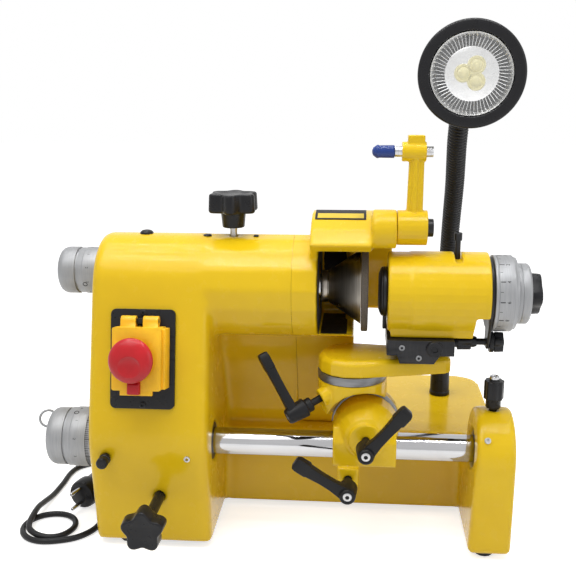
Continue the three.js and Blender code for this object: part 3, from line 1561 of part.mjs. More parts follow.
function indexFlange() {
  const from = headEnd + seatGap;
  const to = from + flangeThickness;
  const y = feedDepth - headDepth;
  const z = feedHeight - headHeight;
  const lug = outlineOf([
    [y - flangeLugWidth / 2, z - feedDiscRadius / 2],
    [y + flangeLugWidth / 2, z - feedDiscRadius / 2],
    [0, -flangeRadius * 0.9],
    [-flangeRadius * 0.75, -flangeRadius * 0.6],
  ]);
  const whole = join(rod("x", flangeRadius, from, to), prism("x", lug, from, to));
  const bore = rod("x", indexSpindleRadius + seatGap, from - overrun, to + overrun);
  const feedHole = rod("x", feedRodRadius + seatGap, from - overrun, to + overrun, y, z, smallSides);
  return cut(whole, bore, feedHole);
}

const dialStart = headEnd + flangeThickness + dialGap * 2;

function indexDial() {
  const from = dialStart + seatGap;
  const to = headEnd + flangeThickness + indexDialLength;
  const end = to + indexStepLength;
  const inner = drawbarRodRadius * 1.6 + seatGap;
  const profile = [
    [from, inner],
    [from, indexDialRadius],
    [to - indexChamfer, indexDialRadius],
    [to, indexDialRadius - indexChamfer],
    [to, indexStepRadius - indexChamfer / 2],
    [to + indexChamfer / 2, indexStepRadius],
    [end - indexChamfer, indexStepRadius],
    [end, indexStepRadius - indexChamfer],
    [end, drawbarRodRadius + seatGap],
    [to + seatGap, drawbarRodRadius + seatGap],
    [to + seatGap, inner],
    [from, inner],
  ];
  return turned("x", profile, 0, 0, roundSides + smallSides);
}

function drawbarKnob() {
  const start = headEnd + flangeThickness + indexDialLength + indexStepLength + seatGap;
  const edge = drawbarLength / 5;
  const grip = prism("x", lobedOutline(drawbarRadius, curveSteps), start, start + drawbarLength, edge);
  return join(grip, rod("x", drawbarRodRadius, start - drawbarRodLength, start + edge, 0, 0, smallSides));
}

function headClampScrew() {
  const seat = headSlotFloor + seatGap;
  const top = seat + clampScrewLength;
  const profile = [
    [seat, 0],
    [seat, clampScrewRadius],
    [top - clampScrewHeadHeight, clampScrewRadius],
    [top - clampScrewHeadHeight, clampScrewHeadRadius],
    [top, clampScrewHeadRadius],
    [top, 0],
  ];
  return turned("z", profile, headSlotStart + headSlotWidth / 2, 0, smallSides);
}

headGroup.add(meshOf("head_body", headBody(), yellowPaint()));
headGroup.add(meshOf("index_spindle", indexSpindle(), blackSteel()));
headGroup.add(meshOf("collet_nut", colletNut(), blackSteel()));
headGroup.add(meshOf("index_flange", indexFlange(), blackSteel()));
headGroup.add(meshOf("index_dial", indexDial(), greyDial()));
headGroup.add(meshOf("drawbar_knob", drawbarKnob(), blackPlastic()));
headGroup.add(meshOf("head_clamp_screw", headClampScrew(), blackSteel()));

// Head feed screw beside the carriage
const headFeedGroup = groupAt(machine, 0, feedDepth, feedHeight);

function headFeedKnob() {
  const profile = [
    [carriageRight - feedRodSeat, 0],
    [carriageRight - feedRodSeat, feedRodRadius],
    [feedCollarStart, feedRodRadius],
    [feedCollarStart, feedCollarRadius],
    [feedCollarEnd, feedCollarRadius],
    [feedCollarEnd, feedRodRadius],
    [feedDiscStart, feedRodRadius],
    [feedDiscStart, feedDiscRadius],
    [feedDiscEnd, feedDiscRadius],
    [feedDiscEnd, feedGripRadius],
    [feedGripEnd, feedGripRadius * 0.85],
    [feedGripEnd, 0],
  ];
  return turned("x", profile, 0, 0, smallSides);
}

headFeedGroup.add(meshOf("head_feed_knob", headFeedKnob(), blackPlastic()));

// Lamp on its ribbed neck
const lampGroup = groupAt(machine, lampAlong, lampDepth, lampHeight);
lampGroup.rotation.z = -lampTurn;
const lampBackReach = lampShellLength + lampNeckLength;

function lampHousing() {
  const profile = [
    [0, lampRadius - lampLip / 2],
    [0, lampLipRadius],
    [lampLip, lampLipRadius],
    [lampLip, 0],
    [lampBackReach, 0],
    [lampBackReach, lampBall],
    [lampShellLength, lampNeckRadius],
    [lampShellLength, lampShellRadius],
    [lampRimLength, lampRadius],
    [lampLip / 2, lampRadius],
    [0, lampRadius - lampLip / 2],
  ];
  return turned("y", profile, 0, 0, roundSides + smallSides);
}

function lampGlass() {
  return rod("y", lampGlassRadius, lampGlassInset - seatGap, lampLip - seatGap, 0, 0, roundSides + smallSides);
}

lampGroup.add(meshOf("lamp_housing", lampHousing(), blackPlastic()));
lampGroup.add(meshOf("lamp_glass", lampGlass(), paint(0xd8dadc, 0.2)));

const lampBack = new THREE.Vector3(0, lampBackReach + seatGap, 0).applyAxisAngle(zAxis, -lampTurn).add(lampGroup.position);
const lampBackward = yAxis.clone().applyAxisAngle(zAxis, -lampTurn);

function lampBase() {
  const bottom = deckTop + seatGap;
  const top = bottom + lampBaseHeight;
  const chamfer = lampBaseRadius / 6;
  const profile = [
    [bottom, 0],
    [bottom, lampBaseRadius],
    [top - chamfer, lampBaseRadius],
    [top, lampBaseRadius - chamfer],
    [top, 0],
  ];
  return turned("z", profile, lampBaseAlong, lampBaseDepth, smallSides);
}

// The neck's centre line: up from its base, then forward over the head to the lamp's back
const neckFoot = new THREE.Vector3(lampBaseAlong, lampBaseDepth, deckTop + lampBaseHeight - wall);
const neckRise = lampBack.z - neckFoot.z;
const neckCarry = neckFoot.y - lampBack.y;
const neckPathShares = [
  [0, 0, 0],
  [0, 0.06, 0.002],
  [0, 0.2, 0.008],
  [0.03, 0.4, 0.011],
  [0.17, 0.53, 0.01],
  [0.36, 0.65, 0.007],
  [0.68, 0.82, -0.004],
  [0.81, 0.91, 0],
];

function neckCurve() {
  const points = neckPathShares.map(([carry, rise, aside]) =>
    new THREE.Vector3(neckFoot.x + aside * neckRise, neckFoot.y - carry * neckCarry, neckFoot.z + rise * neckRise));
  const lead = lampBack.clone().addScaledVector(lampBackward, neckEndLength);
  return new THREE.CatmullRomCurve3([...points, lead, lampBack], false, "centripetal");
}

// A closed tube through rings of points, each ring [centre, radius], square to the curve
function ringedTube(curve, places, radii, sides) {
  const frames = places.map((share) => {
    const centre = curve.getPointAt(share);
    const along = curve.getTangentAt(share);
    const side = new THREE.Vector3().crossVectors(along, xAxis).normalize();
    const up = new THREE.Vector3().crossVectors(side, along);
    return { centre, side, up };
  });
  const positions = [];
  frames.forEach(({ centre, side, up }, i) => {
    for (let k = 0; k < sides; k += 1) {
      const angle = (2 * Math.PI * k) / sides;
      const point = centre.clone()
        .addScaledVector(side, radii[i] * Math.cos(angle))
        .addScaledVector(up, radii[i] * Math.sin(angle));
      positions.push(point.x, point.y, point.z);
    }
  });
  const first = positions.length / 3;
  const last = frames.length - 1;
  positions.push(...frames[0].centre.toArray(), ...frames[last].centre.toArray());
  const faces = [];
  for (let k = 0; k < sides; k += 1) {
    const next = (k + 1) % sides;
    for (let i = 0; i < last; i += 1) {
      const [a, b] = [i * sides + k, i * sides + next];
      faces.push(a, b, b + sides, a, b + sides, a + sides);
    }
    faces.push(first, next, k, first + 1, last * sides + k, last * sides + next);
  }
  const geometry = new THREE.BufferGeometry();
  geometry.setAttribute("position", new THREE.Float32BufferAttribute(positions, 3));
  geometry.setIndex(faces);
  return solidOf(geometry);
}

function gooseneck() {
  const curve = neckCurve();
  const length = curve.getLength();
  const end = neckRibRadius * 2;
  const count = Math.floor((length - 2 * end) / neckRibPitch);
  const places = [0, end / length];
  const radii = [neckCoreRadius, neckCoreRadius];
  for (let i = 0; i < count; i += 1) {
    const at = end + (i + 0.5) * neckRibPitch;
    places.push(at / length, (at + neckRibPitch / 2) / length);
    radii.push(neckRibRadius, neckCoreRadius);
  }
  places.push(1);
  radii.push(neckCoreRadius);
  return ringedTube(curve, places, radii, neckSides);
}

machine.add(meshOf("lamp_neck", join(lampBase(), gooseneck()), blackSteel()));

// Power cord: gland in the housing's back, free cord on the table, and the plug
const glandGroup = groupAt(machine, glandAlong, castingBack, glandHeight);

function cordGland() {
  const half = glandRadius / 2;
  const profile = [
    [-wall, glandBore],
    [-wall, half],
    [seatGap, half],
    [seatGap, glandRadius],
    [glandLength / 3, glandRadius],
    [glandLength / 3, glandRadius * 0.8],
    [glandLength, glandRadius * 0.6],
    [glandLength, glandBore],
    [-wall, glandBore],
  ];
  return turned("y", profile, 0, 0, smallSides);
}

glandGroup.add(meshOf("cord_gland", cordGland(), blackRubber()));

const plugGroup = groupAt(machine, plugAlong, plugDepth, plugRadius + seatGap);
plugGroup.rotation.z = -plugTurn;

function plug() {
  const front = -plugLength / 2;
  const back = plugLength / 2;
  const body = turned("y", [
    [front, 0],
    [front, plugRadius * 0.92],
    [front + plugLength * 0.1, plugRadius],
    [front + plugLength * 0.55, plugRadius],
    [back, plugNeckRadius * 1.2],
    [back + plugNeckLength, plugNeckRadius * 0.8],
    [back + plugNeckLength, 0],
  ], 0, 0, smallSides);
  const pins = [-1, 1].map((side) =>
    rod("y", plugPinRadius, front - plugPinLength, front + plugPinLength / 3, side * plugPinPitch / 2, 0, 8));
  return join(body, ...pins);
}

plugGroup.add(meshOf("power_plug", plug(), blackRubber()));

// The cord's route, chosen by hand: out of the gland, forward along the housing's left side,
// through its loops on the table and back into the plug
const cordRoute = [
  [-100, 356.5, 40],
  [-100.5, 378, 38.6],
  [-106, 389, 34],
  [-115.5, 397, 27.3],
  [-128, 400, 19.8],
  [-140.5, 397, 12.6],
  [-150, 389, 7],
  [-155.5, 378, 4.2],
  [-155.5, 352, 4],
  [-151, 315, 4],
  [-144, 265, 4],
  [-140, 215, 4],
  [-139, 160, 4],
  [-139, 105, 4],
  [-139, 54.5, 4],
  [-144, 31.5, 4],
  [-159.5, 13, 4],
  [-191.5, 3, 4],
  [-208.5, 6.5, 4],
  [-221, 17.5, 4],
  [-226.5, 33, 4],
  [-223.5, 49, 4],
  [-213, 61, 4],
  [-198, 66, 4],
  [-183, 63, 4],
  [-172, 53, 4],
  [-167.5, 39.5, 4],
  [-170.5, 25.5, 4],
  [-179.5, 15, 4],
  [-192.5, 11, 5.1],
  [-205.5, 13, 7.6],
  [-215.5, 21.5, 10.3],
  [-221, 62, 12.2],
  [-221, 86, 8.6],
  [-219.5, 112, 4.6],
  [-218, 145, 4],
  [-218, 174, 4],
  [-213.5, 191.5, 4],
  [-200.5, 204, 4],
  [-183, 209, 4.9],
  [-166, 204, 8.8],
  [-153.5, 192.5, 13.5],
  [-148.5, 177, 17.1],
];

// The cord's end meets the plug's tail face to face
const plugBackward = yAxis.clone().applyAxisAngle(zAxis, -plugTurn);
const cordEnd = plugGroup.position.clone().addScaledVector(plugBackward, plugLength / 2 + plugNeckLength + seatGap);
const cordLead = cordEnd.clone().addScaledVector(plugBackward, plugNeckLength);

function powerCord() {
  const route = [...cordRoute.map((point) => new THREE.Vector3(...point)), cordLead, cordEnd];
  const curve = new THREE.CatmullRomCurve3(route, false, "centripetal");
  const section = outlineOf(Array.from({ length: cordSides }, (_, i) => {
    const angle = (2 * Math.PI * i) / cordSides;
    return [cordRadius * Math.cos(angle), cordRadius * Math.sin(angle)];
  }));
  const steps = Math.ceil(curve.getLength() / cordStep);
  return solidOf(new THREE.ExtrudeGeometry(section, { steps, extrudePath: curve, bevelEnabled: false }));
}

machine.add(meshOf("power_cord", powerCord(), blackRubber()));

// Centre the machine over its own footprint, the loose cord and plug left out
const looseNames = ["power_cord", "power_plug"];
const footprint = new THREE.Box3();
machine.updateMatrixWorld(true);
machine.traverse((part) => {
  if (part.isMesh && !looseNames.includes(part.name)) footprint.expandByObject(part, true);
});
const middle = footprint.getCenter(new THREE.Vector3());
machine.position.set(-middle.x, -middle.y, -footprint.min.z);

export default machine;
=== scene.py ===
import math

import bpy
from bpy.props import FloatProperty, FloatVectorProperty, IntProperty, PointerProperty
from mathutils import Matrix, Vector


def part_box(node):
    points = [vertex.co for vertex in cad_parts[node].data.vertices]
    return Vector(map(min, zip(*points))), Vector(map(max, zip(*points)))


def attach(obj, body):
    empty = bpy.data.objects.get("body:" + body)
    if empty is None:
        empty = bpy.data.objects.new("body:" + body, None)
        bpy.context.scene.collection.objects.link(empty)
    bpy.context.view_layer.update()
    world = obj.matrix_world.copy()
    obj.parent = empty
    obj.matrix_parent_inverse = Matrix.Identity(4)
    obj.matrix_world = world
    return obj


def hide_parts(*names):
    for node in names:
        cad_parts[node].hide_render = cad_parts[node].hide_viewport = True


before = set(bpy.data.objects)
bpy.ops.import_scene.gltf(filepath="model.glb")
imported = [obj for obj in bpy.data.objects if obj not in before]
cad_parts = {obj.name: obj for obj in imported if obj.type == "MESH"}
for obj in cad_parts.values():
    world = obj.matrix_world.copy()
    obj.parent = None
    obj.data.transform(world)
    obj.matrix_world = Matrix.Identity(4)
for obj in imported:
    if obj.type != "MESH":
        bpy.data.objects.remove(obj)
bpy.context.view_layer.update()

bl_info = {
    "name": "Cutter grinder dressing",
    "version": (1, 0, 0),
    "blender": (4, 5, 0),
    "location": "View3D > Sidebar > Grinder",
    "description": "Dresses the packed cutter grinder with its finishes, dials, levers, lamp, cord and stage",
    "category": "Object",
}

MM = 0.001
# The housing's inner foot, its foremost line and the table meet here, as in the part's source
CASTING_RIGHT = 329.5
CASTING_BACK = 338.0
CASTING_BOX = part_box("base_casting")
ORIGIN = Vector((CASTING_BOX[1].x - CASTING_RIGHT * MM, CASTING_BOX[1].y - CASTING_BACK * MM, 0.0))
X_AXIS, Y_AXIS, Z_AXIS = Vector((1, 0, 0)), Vector((0, 1, 0)), Vector((0, 0, 1))

# Heights and lines of the machine, in millimetres from that origin
BAR_LINE = (50.0, 113.5)
SPINDLE_LINE = (86.0, 288.0)
HEAD_LINE = (56.0, 290.3)
FEED_LINE = (50.0, 237.7)
SPINDLE_DIAL_LINE = (128.0, 292.4)
NOSE_TOP = 345.5
PARTING = 165.0
# Places of single pieces, in millimetres from that origin
GLAND_PLACE = (-100.0, 338.0, 40.0)
PLUG_PLACE = (-167.0, 112.0, 18.3)
PLUG_TURN = -18.0
BAR_LEVER_SEAT = (151.5, 16.0, 87.0)
TILT_LEVER_SEAT = (170.0, 14.5, 133.7)
SWIVEL_LEVER_SEAT = (120.18, 32.92, 174.4)
SLEEVE_KNOB_PLACE = (20.0, 86.0, NOSE_TOP)
POST_KNOB_PLACE = (308.5, 50.0, 161.0)
FINGER_RING_PLACE = (-194.2, 50.0, 134.0)
SWITCH_PLACE = (-69.5, 0.0, PARTING)
SWITCH_LEAN = -12.4334
LAMP_PLACE = (270.0, 60.0, 517.5)
LAMP_TURN = -7.3
LAMP_FOOT = (271.0, 262.0, 0.0)
# The floor of the wheel's pocket
POCKET_FLOOR = 240.4


def at(x, y, z):
    """A point given in millimetres from the machine's own origin, in the frame's metres."""
    return ORIGIN + Vector((x, y, z)) * MM


# Sizes and colours

class GrinderSizes(bpy.types.PropertyGroup):
    """Sizes that a user would change."""
    round_sides: IntProperty(name="Round sides", description="Sides of a turned piece",
                             default=96, min=24, max=256)
    edge_round: FloatProperty(name="Edge rounding", description="Rounding of the lamp's and mushroom's edges",
                              default=0.0006, subtype="DISTANCE", unit="LENGTH")
    cord_diameter: FloatProperty(name="Cord diameter", description="Diameter of the mains cord",
                                 default=0.007, subtype="DISTANCE", unit="LENGTH")
    rib_pitch: FloatProperty(name="Rib pitch", description="Distance between ribs of the lamp's neck",
                             default=0.0042, subtype="DISTANCE", unit="LENGTH")


def colour_property(name, description, default):
    return FloatVectorProperty(name=name, description=description, default=default, size=4,
                               subtype="COLOR", min=0.0, max=1.0)


class GrinderColours(bpy.types.PropertyGroup):
    """Colours that a user would change."""
    paint: colour_property("Paint", "Gloss paint of the castings", (0.79, 0.525, 0.009, 1.0))
    paint_worn: colour_property("Worn paint", "Paint in hollows and on rubbed edges",
                                (0.65, 0.385, 0.006, 1.0))
    moulding: colour_property("Moulded plastic", "Black knobs, levers and switch", (0.007, 0.007, 0.008, 1.0))
    cover: colour_property("Switch cover", "Yellow plastic of the switch cover", (0.90, 0.50, 0.02, 1.0))
    stop: colour_property("Stop button", "Red plastic of the stop mushroom", (0.50, 0.008, 0.014, 1.0))
    start: colour_property("Start button", "Green plastic of the start button", (0.02, 0.30, 0.08, 1.0))
    cap: colour_property("Diamond cap", "Blue plastic of the diamond's cap", (0.010, 0.040, 0.22, 1.0))
    dial: colour_property("Dial", "Satin metal of the dials", (0.33, 0.335, 0.345, 1.0))
    steel: colour_property("Steel", "Ground and polished steel", (0.50, 0.50, 0.51, 1.0))
    oxide: colour_property("Black steel", "Blackened steel", (0.018, 0.018, 0.020, 1.0))
    grit: colour_property("Abrasive", "Bonded grit of the wheel's rim", (0.10, 0.085, 0.07, 1.0))
    rubber: colour_property("Rubber", "Feet, belt and cord", (0.010, 0.010, 0.011, 1.0))


def sizes():
    return bpy.context.scene.grinder_sizes


def colours():
    return bpy.context.scene.grinder_colours


# Finishes

FINISHES = {}

# Colours that a user would leave alone
WHEEL_STEEL = (0.36, 0.33, 0.29, 1.0)
MOTOR_IRON = (0.09, 0.095, 0.10, 1.0)
REFLECTOR_METAL = (0.80, 0.80, 0.80, 1.0)
DIODE_YELLOW = (0.82, 0.76, 0.45, 1.0)
INK_BLACK = (0.01, 0.01, 0.01, 1.0)
LABEL_YELLOW = (0.62, 0.45, 0.04, 1.0)
# Near-black of the sheets that paint the shade in the wheel's pocket, and of a set screw's black with painted
# shade in its hole
BLACK_AND_PAINTED_SHADE = (0.012, 0.010, 0.008, 1.0)
GLASS_TINTS = (0.93, 0.95, 0.96, 1.0), (0.98, 0.98, 0.98, 1.0)


def new_material(name):
    """A material with its shader and a texture coordinate that reads Object."""
    material = bpy.data.materials.new(name)
    material.use_nodes = True
    nodes = material.node_tree.nodes
    shader = nodes["Principled BSDF"]
    place = nodes.new("ShaderNodeTexCoord")
    return material, material.node_tree, shader, place.outputs["Object"]


def noise(tree, place, scale, detail=3.0, roughness=0.5, stretch=None):
    """A noise pattern at a scale in cycles a metre, stretched where asked."""
    if stretch is not None:
        mapping = tree.nodes.new("ShaderNodeMapping")
        mapping.inputs["Scale"].default_value = stretch
        tree.links.new(place, mapping.inputs["Vector"])
        place = mapping.outputs["Vector"]
    texture = tree.nodes.new("ShaderNodeTexNoise")
    texture.inputs["Scale"].default_value = scale
    texture.inputs["Detail"].default_value = detail
    texture.inputs["Roughness"].default_value = roughness
    tree.links.new(place, texture.inputs["Vector"])
    return texture.outputs["Fac"]


def spread(tree, factor, low, high, from_low=0.3, from_high=0.7):
    """Spreads a factor over a range of values."""
    node = tree.nodes.new("ShaderNodeMapRange")
    node.inputs["From Min"].default_value = from_low
    node.inputs["From Max"].default_value = from_high
    node.inputs["To Min"].default_value = low
    node.inputs["To Max"].default_value = high
    tree.links.new(factor, node.inputs["Value"])
    return node.outputs["Result"]


def mixed(tree, factor, first, second):
    """A mix of two colours by a factor; either may be a socket or a colour."""
    node = tree.nodes.new("ShaderNodeMix")
    node.data_type = "RGBA"
    for name, value in (("A", first), ("B", second)):
        socket = [s for s in node.inputs if s.name == name and s.type == "RGBA"][0]
        if isinstance(value, bpy.types.NodeSocket):
            tree.links.new(value, socket)
        else:
            socket.default_value = value
    tree.links.new(factor, node.inputs["Factor"])
    return [s for s in node.outputs if s.type == "RGBA"][0]


def bump(tree, shader, height, strength, distance, before=None):
    """Raises the surface by a height pattern."""
    node = tree.nodes.new("ShaderNodeBump")
    node.inputs["Strength"].default_value = strength
    node.inputs["Distance"].default_value = distance
    tree.links.new(height, node.inputs["Height"])
    if before is not None:
        tree.links.new(before, node.inputs["Normal"])
    tree.links.new(node.outputs["Normal"], shader.inputs["Normal"])
    return node.outputs["Normal"]


def shade(colour, share):
    return (colour[0] * share, colour[1] * share, colour[2] * share, 1.0)


def gloss_paint(name, colour, worn):
    """Thick gloss paint on a casting: a soft orange-peel skin over the casting's own waves."""
    material, tree, shader, place = new_material(name)
    broad = noise(tree, place, 9.0, 3.0, 0.5)
    fine = noise(tree, place, 55.0, 4.0, 0.6)
    tone = mixed(tree, spread(tree, broad, 0.0, 0.35), colour, worn)
    flecked = mixed(tree, spread(tree, fine, 0.0, 0.10), tone, shade(colour, 1.12))
    tree.links.new(flecked, shader.inputs["Base Color"])
    tree.links.new(spread(tree, fine, 0.20, 0.30), shader.inputs["Roughness"])
    shader.inputs["Specular IOR Level"].default_value = 0.12
    shader.inputs["Coat Weight"].default_value = 0.3
    shader.inputs["Coat Roughness"].default_value = 0.12
    waves = bump(tree, shader, noise(tree, place, 38.0, 2.0, 0.5), 0.25, 0.0008)
    bump(tree, shader, noise(tree, place, 420.0, 2.0, 0.5), 0.16, 0.00025, waves)
    return material


def moulded(name, colour, roughness, grain=1500.0, depth=0.25, coat=0.0):
    """Moulded plastic with a fine grain and a slight change of sheen."""
    material, tree, shader, place = new_material(name)
    broad = noise(tree, place, 30.0, 3.0, 0.6)
    tree.links.new(mixed(tree, spread(tree, broad, 0.0, 1.0), shade(colour, 0.88), shade(colour, 1.12)),
                   shader.inputs["Base Color"])
    tree.links.new(spread(tree, noise(tree, place, 120.0, 3.0, 0.6), roughness - 0.06, roughness + 0.08),
                   shader.inputs["Roughness"])
    shader.inputs["Specular IOR Level"].default_value = 0.22
    shader.inputs["Coat Weight"].default_value = coat
    shader.inputs["Coat Roughness"].default_value = 0.15
    bump(tree, shader, noise(tree, place, grain, 2.0, 0.5), depth, 0.00008)
    return material


def machined(name, colour, roughness, stretch, metallic=1.0, lines=900.0, depth=0.2, tone=0.18):
    """Metal with the fine lines that turning or grinding leaves, drawn out along the stretch."""
    material, tree, shader, place = new_material(name)
    scratch = noise(tree, place, lines, 3.0, 0.6, stretch)
    cloud = noise(tree, place, 22.0, 3.0, 0.6)
    worn = mixed(tree, spread(tree, scratch, 0.0, 1.0), shade(colour, 1.0 - tone), shade(colour, 1.0 + tone))
    clouded = mixed(tree, spread(tree, cloud, 0.0, 0.5), worn, shade(colour, 0.85))
    tree.links.new(clouded, shader.inputs["Base Color"])
    tree.links.new(spread(tree, cloud, roughness - 0.05, roughness + 0.09), shader.inputs["Roughness"])
    shader.inputs["Metallic"].default_value = metallic
    bump(tree, shader, scratch, depth, 0.00005)
    return material


def grit(name, colour):
    """Bonded abrasive: coarse and fine grains of mixed tone."""
    material, tree, shader, place = new_material(name)
    grain = tree.nodes.new("ShaderNodeTexVoronoi")
    grain.inputs["Scale"].default_value = 900.0
    tree.links.new(place, grain.inputs["Vector"])
    fine = noise(tree, place, 1600.0, 4.0, 0.7)
    tree.links.new(mixed(tree, spread(tree, fine, 0.0, 1.0), shade(colour, 0.55), shade(colour, 1.7)),
                   shader.inputs["Base Color"])
    shader.inputs["Roughness"].default_value = 0.85
    bump(tree, shader, grain.outputs["Distance"], 0.6, 0.0003)
    return material


def cast_iron(name, colour):
    """Bare sand-cast iron with a sandy skin."""
    material, tree, shader, place = new_material(name)
    sand = noise(tree, place, 700.0, 4.0, 0.6)
    tree.links.new(mixed(tree, spread(tree, sand, 0.0, 1.0), shade(colour, 0.75), shade(colour, 1.2)),
                   shader.inputs["Base Color"])
    shader.inputs["Metallic"].default_value = 0.4
    shader.inputs["Roughness"].default_value = 0.6
    bump(tree, shader, sand, 0.5, 0.0002)
    return material


def clear_glass(name):
    """A clear lamp front with a little haze."""
    material, tree, shader, place = new_material(name)
    haze = noise(tree, place, 60.0, 2.0, 0.5)
    tint = mixed(tree, spread(tree, haze, 0.0, 1.0), *GLASS_TINTS)
    tree.links.new(tint, shader.inputs["Base Color"])
    tree.links.new(spread(tree, haze, 0.06, 0.12), shader.inputs["Alpha"])
    shader.inputs["Roughness"].default_value = 0.05
    return material


def make_finishes():
    c = colours()
    made = {
        "paint": gloss_paint("yellow_gloss_paint", c.paint, c.paint_worn),
        "moulding": moulded("black_moulded_plastic", c.moulding, 0.42),
        "satin_moulding": moulded("black_satin_plastic", shade(c.moulding, 1.6), 0.3,
                                  grain=900.0, depth=0.12),
        "cover": moulded("yellow_switch_plastic", c.cover, 0.35, grain=1200.0, depth=0.15, coat=0.2),
        "stop": moulded("red_button_plastic", c.stop, 0.34, grain=900.0, depth=0.10, coat=0.3),
        "start": moulded("green_button_plastic", c.start, 0.3, grain=900.0, depth=0.10, coat=0.3),
        "cap": moulded("blue_cap_plastic", c.cap, 0.3, grain=900.0, depth=0.10, coat=0.3),
        "rubber": moulded("black_rubber", c.rubber, 0.62, grain=700.0, depth=0.4),
        "cord": moulded("cord_jacket", shade(c.rubber, 1.3), 0.38, grain=500.0, depth=0.15),
        "dial": machined("satin_dial_metal", c.dial, 0.45, (1.0, 0.06, 0.06), metallic=0.45, tone=0.10),
        "steel": machined("ground_steel", c.steel, 0.26, (1.0, 0.05, 0.05)),
        "bright": machined("polished_steel", shade(c.steel, 0.98), 0.09, (0.05, 1.0, 1.0),
                           lines=300.0, depth=0.03, tone=0.04),
        "cone": machined("turned_wheel_steel", WHEEL_STEEL, 0.30, (1.0, 0.03, 0.03),
                         lines=700.0, depth=0.25, tone=0.3),
        "alloy": machined("turned_alloy", c.steel, 0.33, (1.0, 0.1, 0.1)),
        "oxide": machined("black_oxide_steel", c.oxide, 0.36, (1.0, 0.2, 0.2),
                          metallic=0.6, lines=500.0, depth=0.15, tone=0.25),
        "ring": machined("scale_ring_metal", shade(c.dial, 0.6), 0.34, (0.06, 0.06, 1.0), metallic=0.85),
        "grit": grit("bonded_abrasive", c.grit),
        "iron": cast_iron("motor_casting", MOTOR_IRON),
        "glass": clear_glass("lamp_front"),
        "reflector": machined("lamp_reflector", REFLECTOR_METAL, 0.2, (1.0, 1.0, 1.0),
                              lines=200.0, depth=0.1, tone=0.05),
        "diode": moulded("lamp_diode", DIODE_YELLOW, 0.3),
        "ink": moulded("dial_ink", INK_BLACK, 0.5),
        "plate": moulded("label_field", LABEL_YELLOW, 0.4, grain=400.0, depth=0.1),
        # Near-black sheets: painted shade in the wheel's pocket, and a set screw's black with painted shade
        # in its hole
        "black_and_painted_shade": moulded("black_and_painted_shade_sheet", BLACK_AND_PAINTED_SHADE, 0.5, grain=300.0, depth=0.3),
    }
    FINISHES.update(made)


# Modelling by hand

def clear_selection():
    if bpy.context.mode != "OBJECT":
        bpy.ops.object.mode_set(mode="OBJECT")
    bpy.ops.object.select_all(action="DESELECT")


def only(piece):
    """Makes a piece the only one selected and active."""
    clear_selection()
    piece.select_set(True)
    bpy.context.view_layer.objects.active = piece
    return piece


def edit_all():
    bpy.ops.object.mode_set(mode="EDIT")
    bpy.ops.mesh.select_all(action="SELECT")


def close_edit():
    bpy.ops.mesh.select_all(action="SELECT")
    bpy.ops.mesh.normals_make_consistent(inside=False)
    bpy.ops.object.mode_set(mode="OBJECT")


def drawn(name, profile, sides=None, hollow=False):
    """A ring added at the profile's start and drawn out along Z through (along, radius) in millimetres."""
    clear_selection()
    along, radius = profile[0]
    bpy.ops.mesh.primitive_circle_add(vertices=sides or sizes().round_sides, radius=radius * MM,
                                      fill_type="NOTHING" if hollow else "NGON")
    piece = bpy.context.object
    piece.name = name
    edit_all()
    bpy.ops.transform.translate(value=(0, 0, along * MM))
    for next_along, next_radius in profile[1:]:
        bpy.ops.mesh.extrude_region_move(TRANSFORM_OT_translate={"value": (0, 0, (next_along - along) * MM)})
        share = next_radius / radius
        bpy.ops.transform.resize(value=(share, share, 1), center_override=(0, 0, next_along * MM))
        along, radius = next_along, next_radius
    if hollow:
        bpy.ops.mesh.select_all(action="DESELECT")
        bpy.ops.mesh.select_non_manifold()
        bpy.ops.mesh.bridge_edge_loops()
    close_edit()
    return piece


def rounded(piece, width=None, segments=2, angle=28.0):
    """Rounds the piece's edges over an angle with a bevel that is applied."""
    only(piece)
    modifier = piece.modifiers.new("rounding", "BEVEL")
    modifier.width = width or sizes().edge_round
    modifier.segments = segments
    modifier.limit_method = "ANGLE"
    modifier.angle_limit = math.radians(angle)
    modifier.use_clamp_overlap = True
    bpy.ops.object.modifier_apply(modifier=modifier.name)
    return piece


def placed(piece, matrix):
    """Stands a piece at its place, which goes into its mesh."""
    only(piece)
    piece.matrix_world = matrix @ piece.matrix_world
    bpy.ops.object.transform_apply(location=True, rotation=True, scale=True)
    return piece


def along_axis(point, axis):
    """The matrix that stands a piece's Z along an axis at a point."""
    return Matrix.Translation(point) @ axis.to_track_quat("Z", "Y").to_matrix().to_4x4()


def joined(name, pieces):
    clear_selection()
    for piece in pieces:
        piece.select_set(True)
    bpy.context.view_layer.objects.active = pieces[0]
    if len(pieces) > 1:
        bpy.ops.object.join()
    pieces[0].name = name
    return pieces[0]


def block(name, low, high):
    """A block between two corners in millimetres, ready to be shaped."""
    clear_selection()
    a, b = Vector(low) * MM, Vector(high) * MM
    bpy.ops.mesh.primitive_cube_add(size=1.0, location=(a + b) / 2)
    piece = bpy.context.object
    piece.scale = b - a
    bpy.ops.object.transform_apply(location=True, rotation=True, scale=True)
    piece.name = name
    return piece


def lofted(name, steps):
    """A four-sided bar drawn out along Z through (along, middle x, middle y, width x, width y)."""
    clear_selection()
    bpy.ops.mesh.primitive_plane_add(size=1.0)
    piece = bpy.context.object
    piece.name = name
    edit_all()
    along, x, y, wide, high = (value * MM for value in steps[0])
    bpy.ops.transform.resize(value=(wide, high, 1))
    bpy.ops.transform.translate(value=(x, y, along))
    for step in steps[1:]:
        to, to_x, to_y, to_wide, to_high = (value * MM for value in step)
        bpy.ops.mesh.extrude_region_move(TRANSFORM_OT_translate={"value": (to_x - x, to_y - y, to - along)})
        bpy.ops.transform.resize(value=(to_wide / wide, to_high / high, 1), center_override=(to_x, to_y, to))
        along, x, y, wide, high = to, to_x, to_y, to_wide, to_high
    close_edit()
    return piece


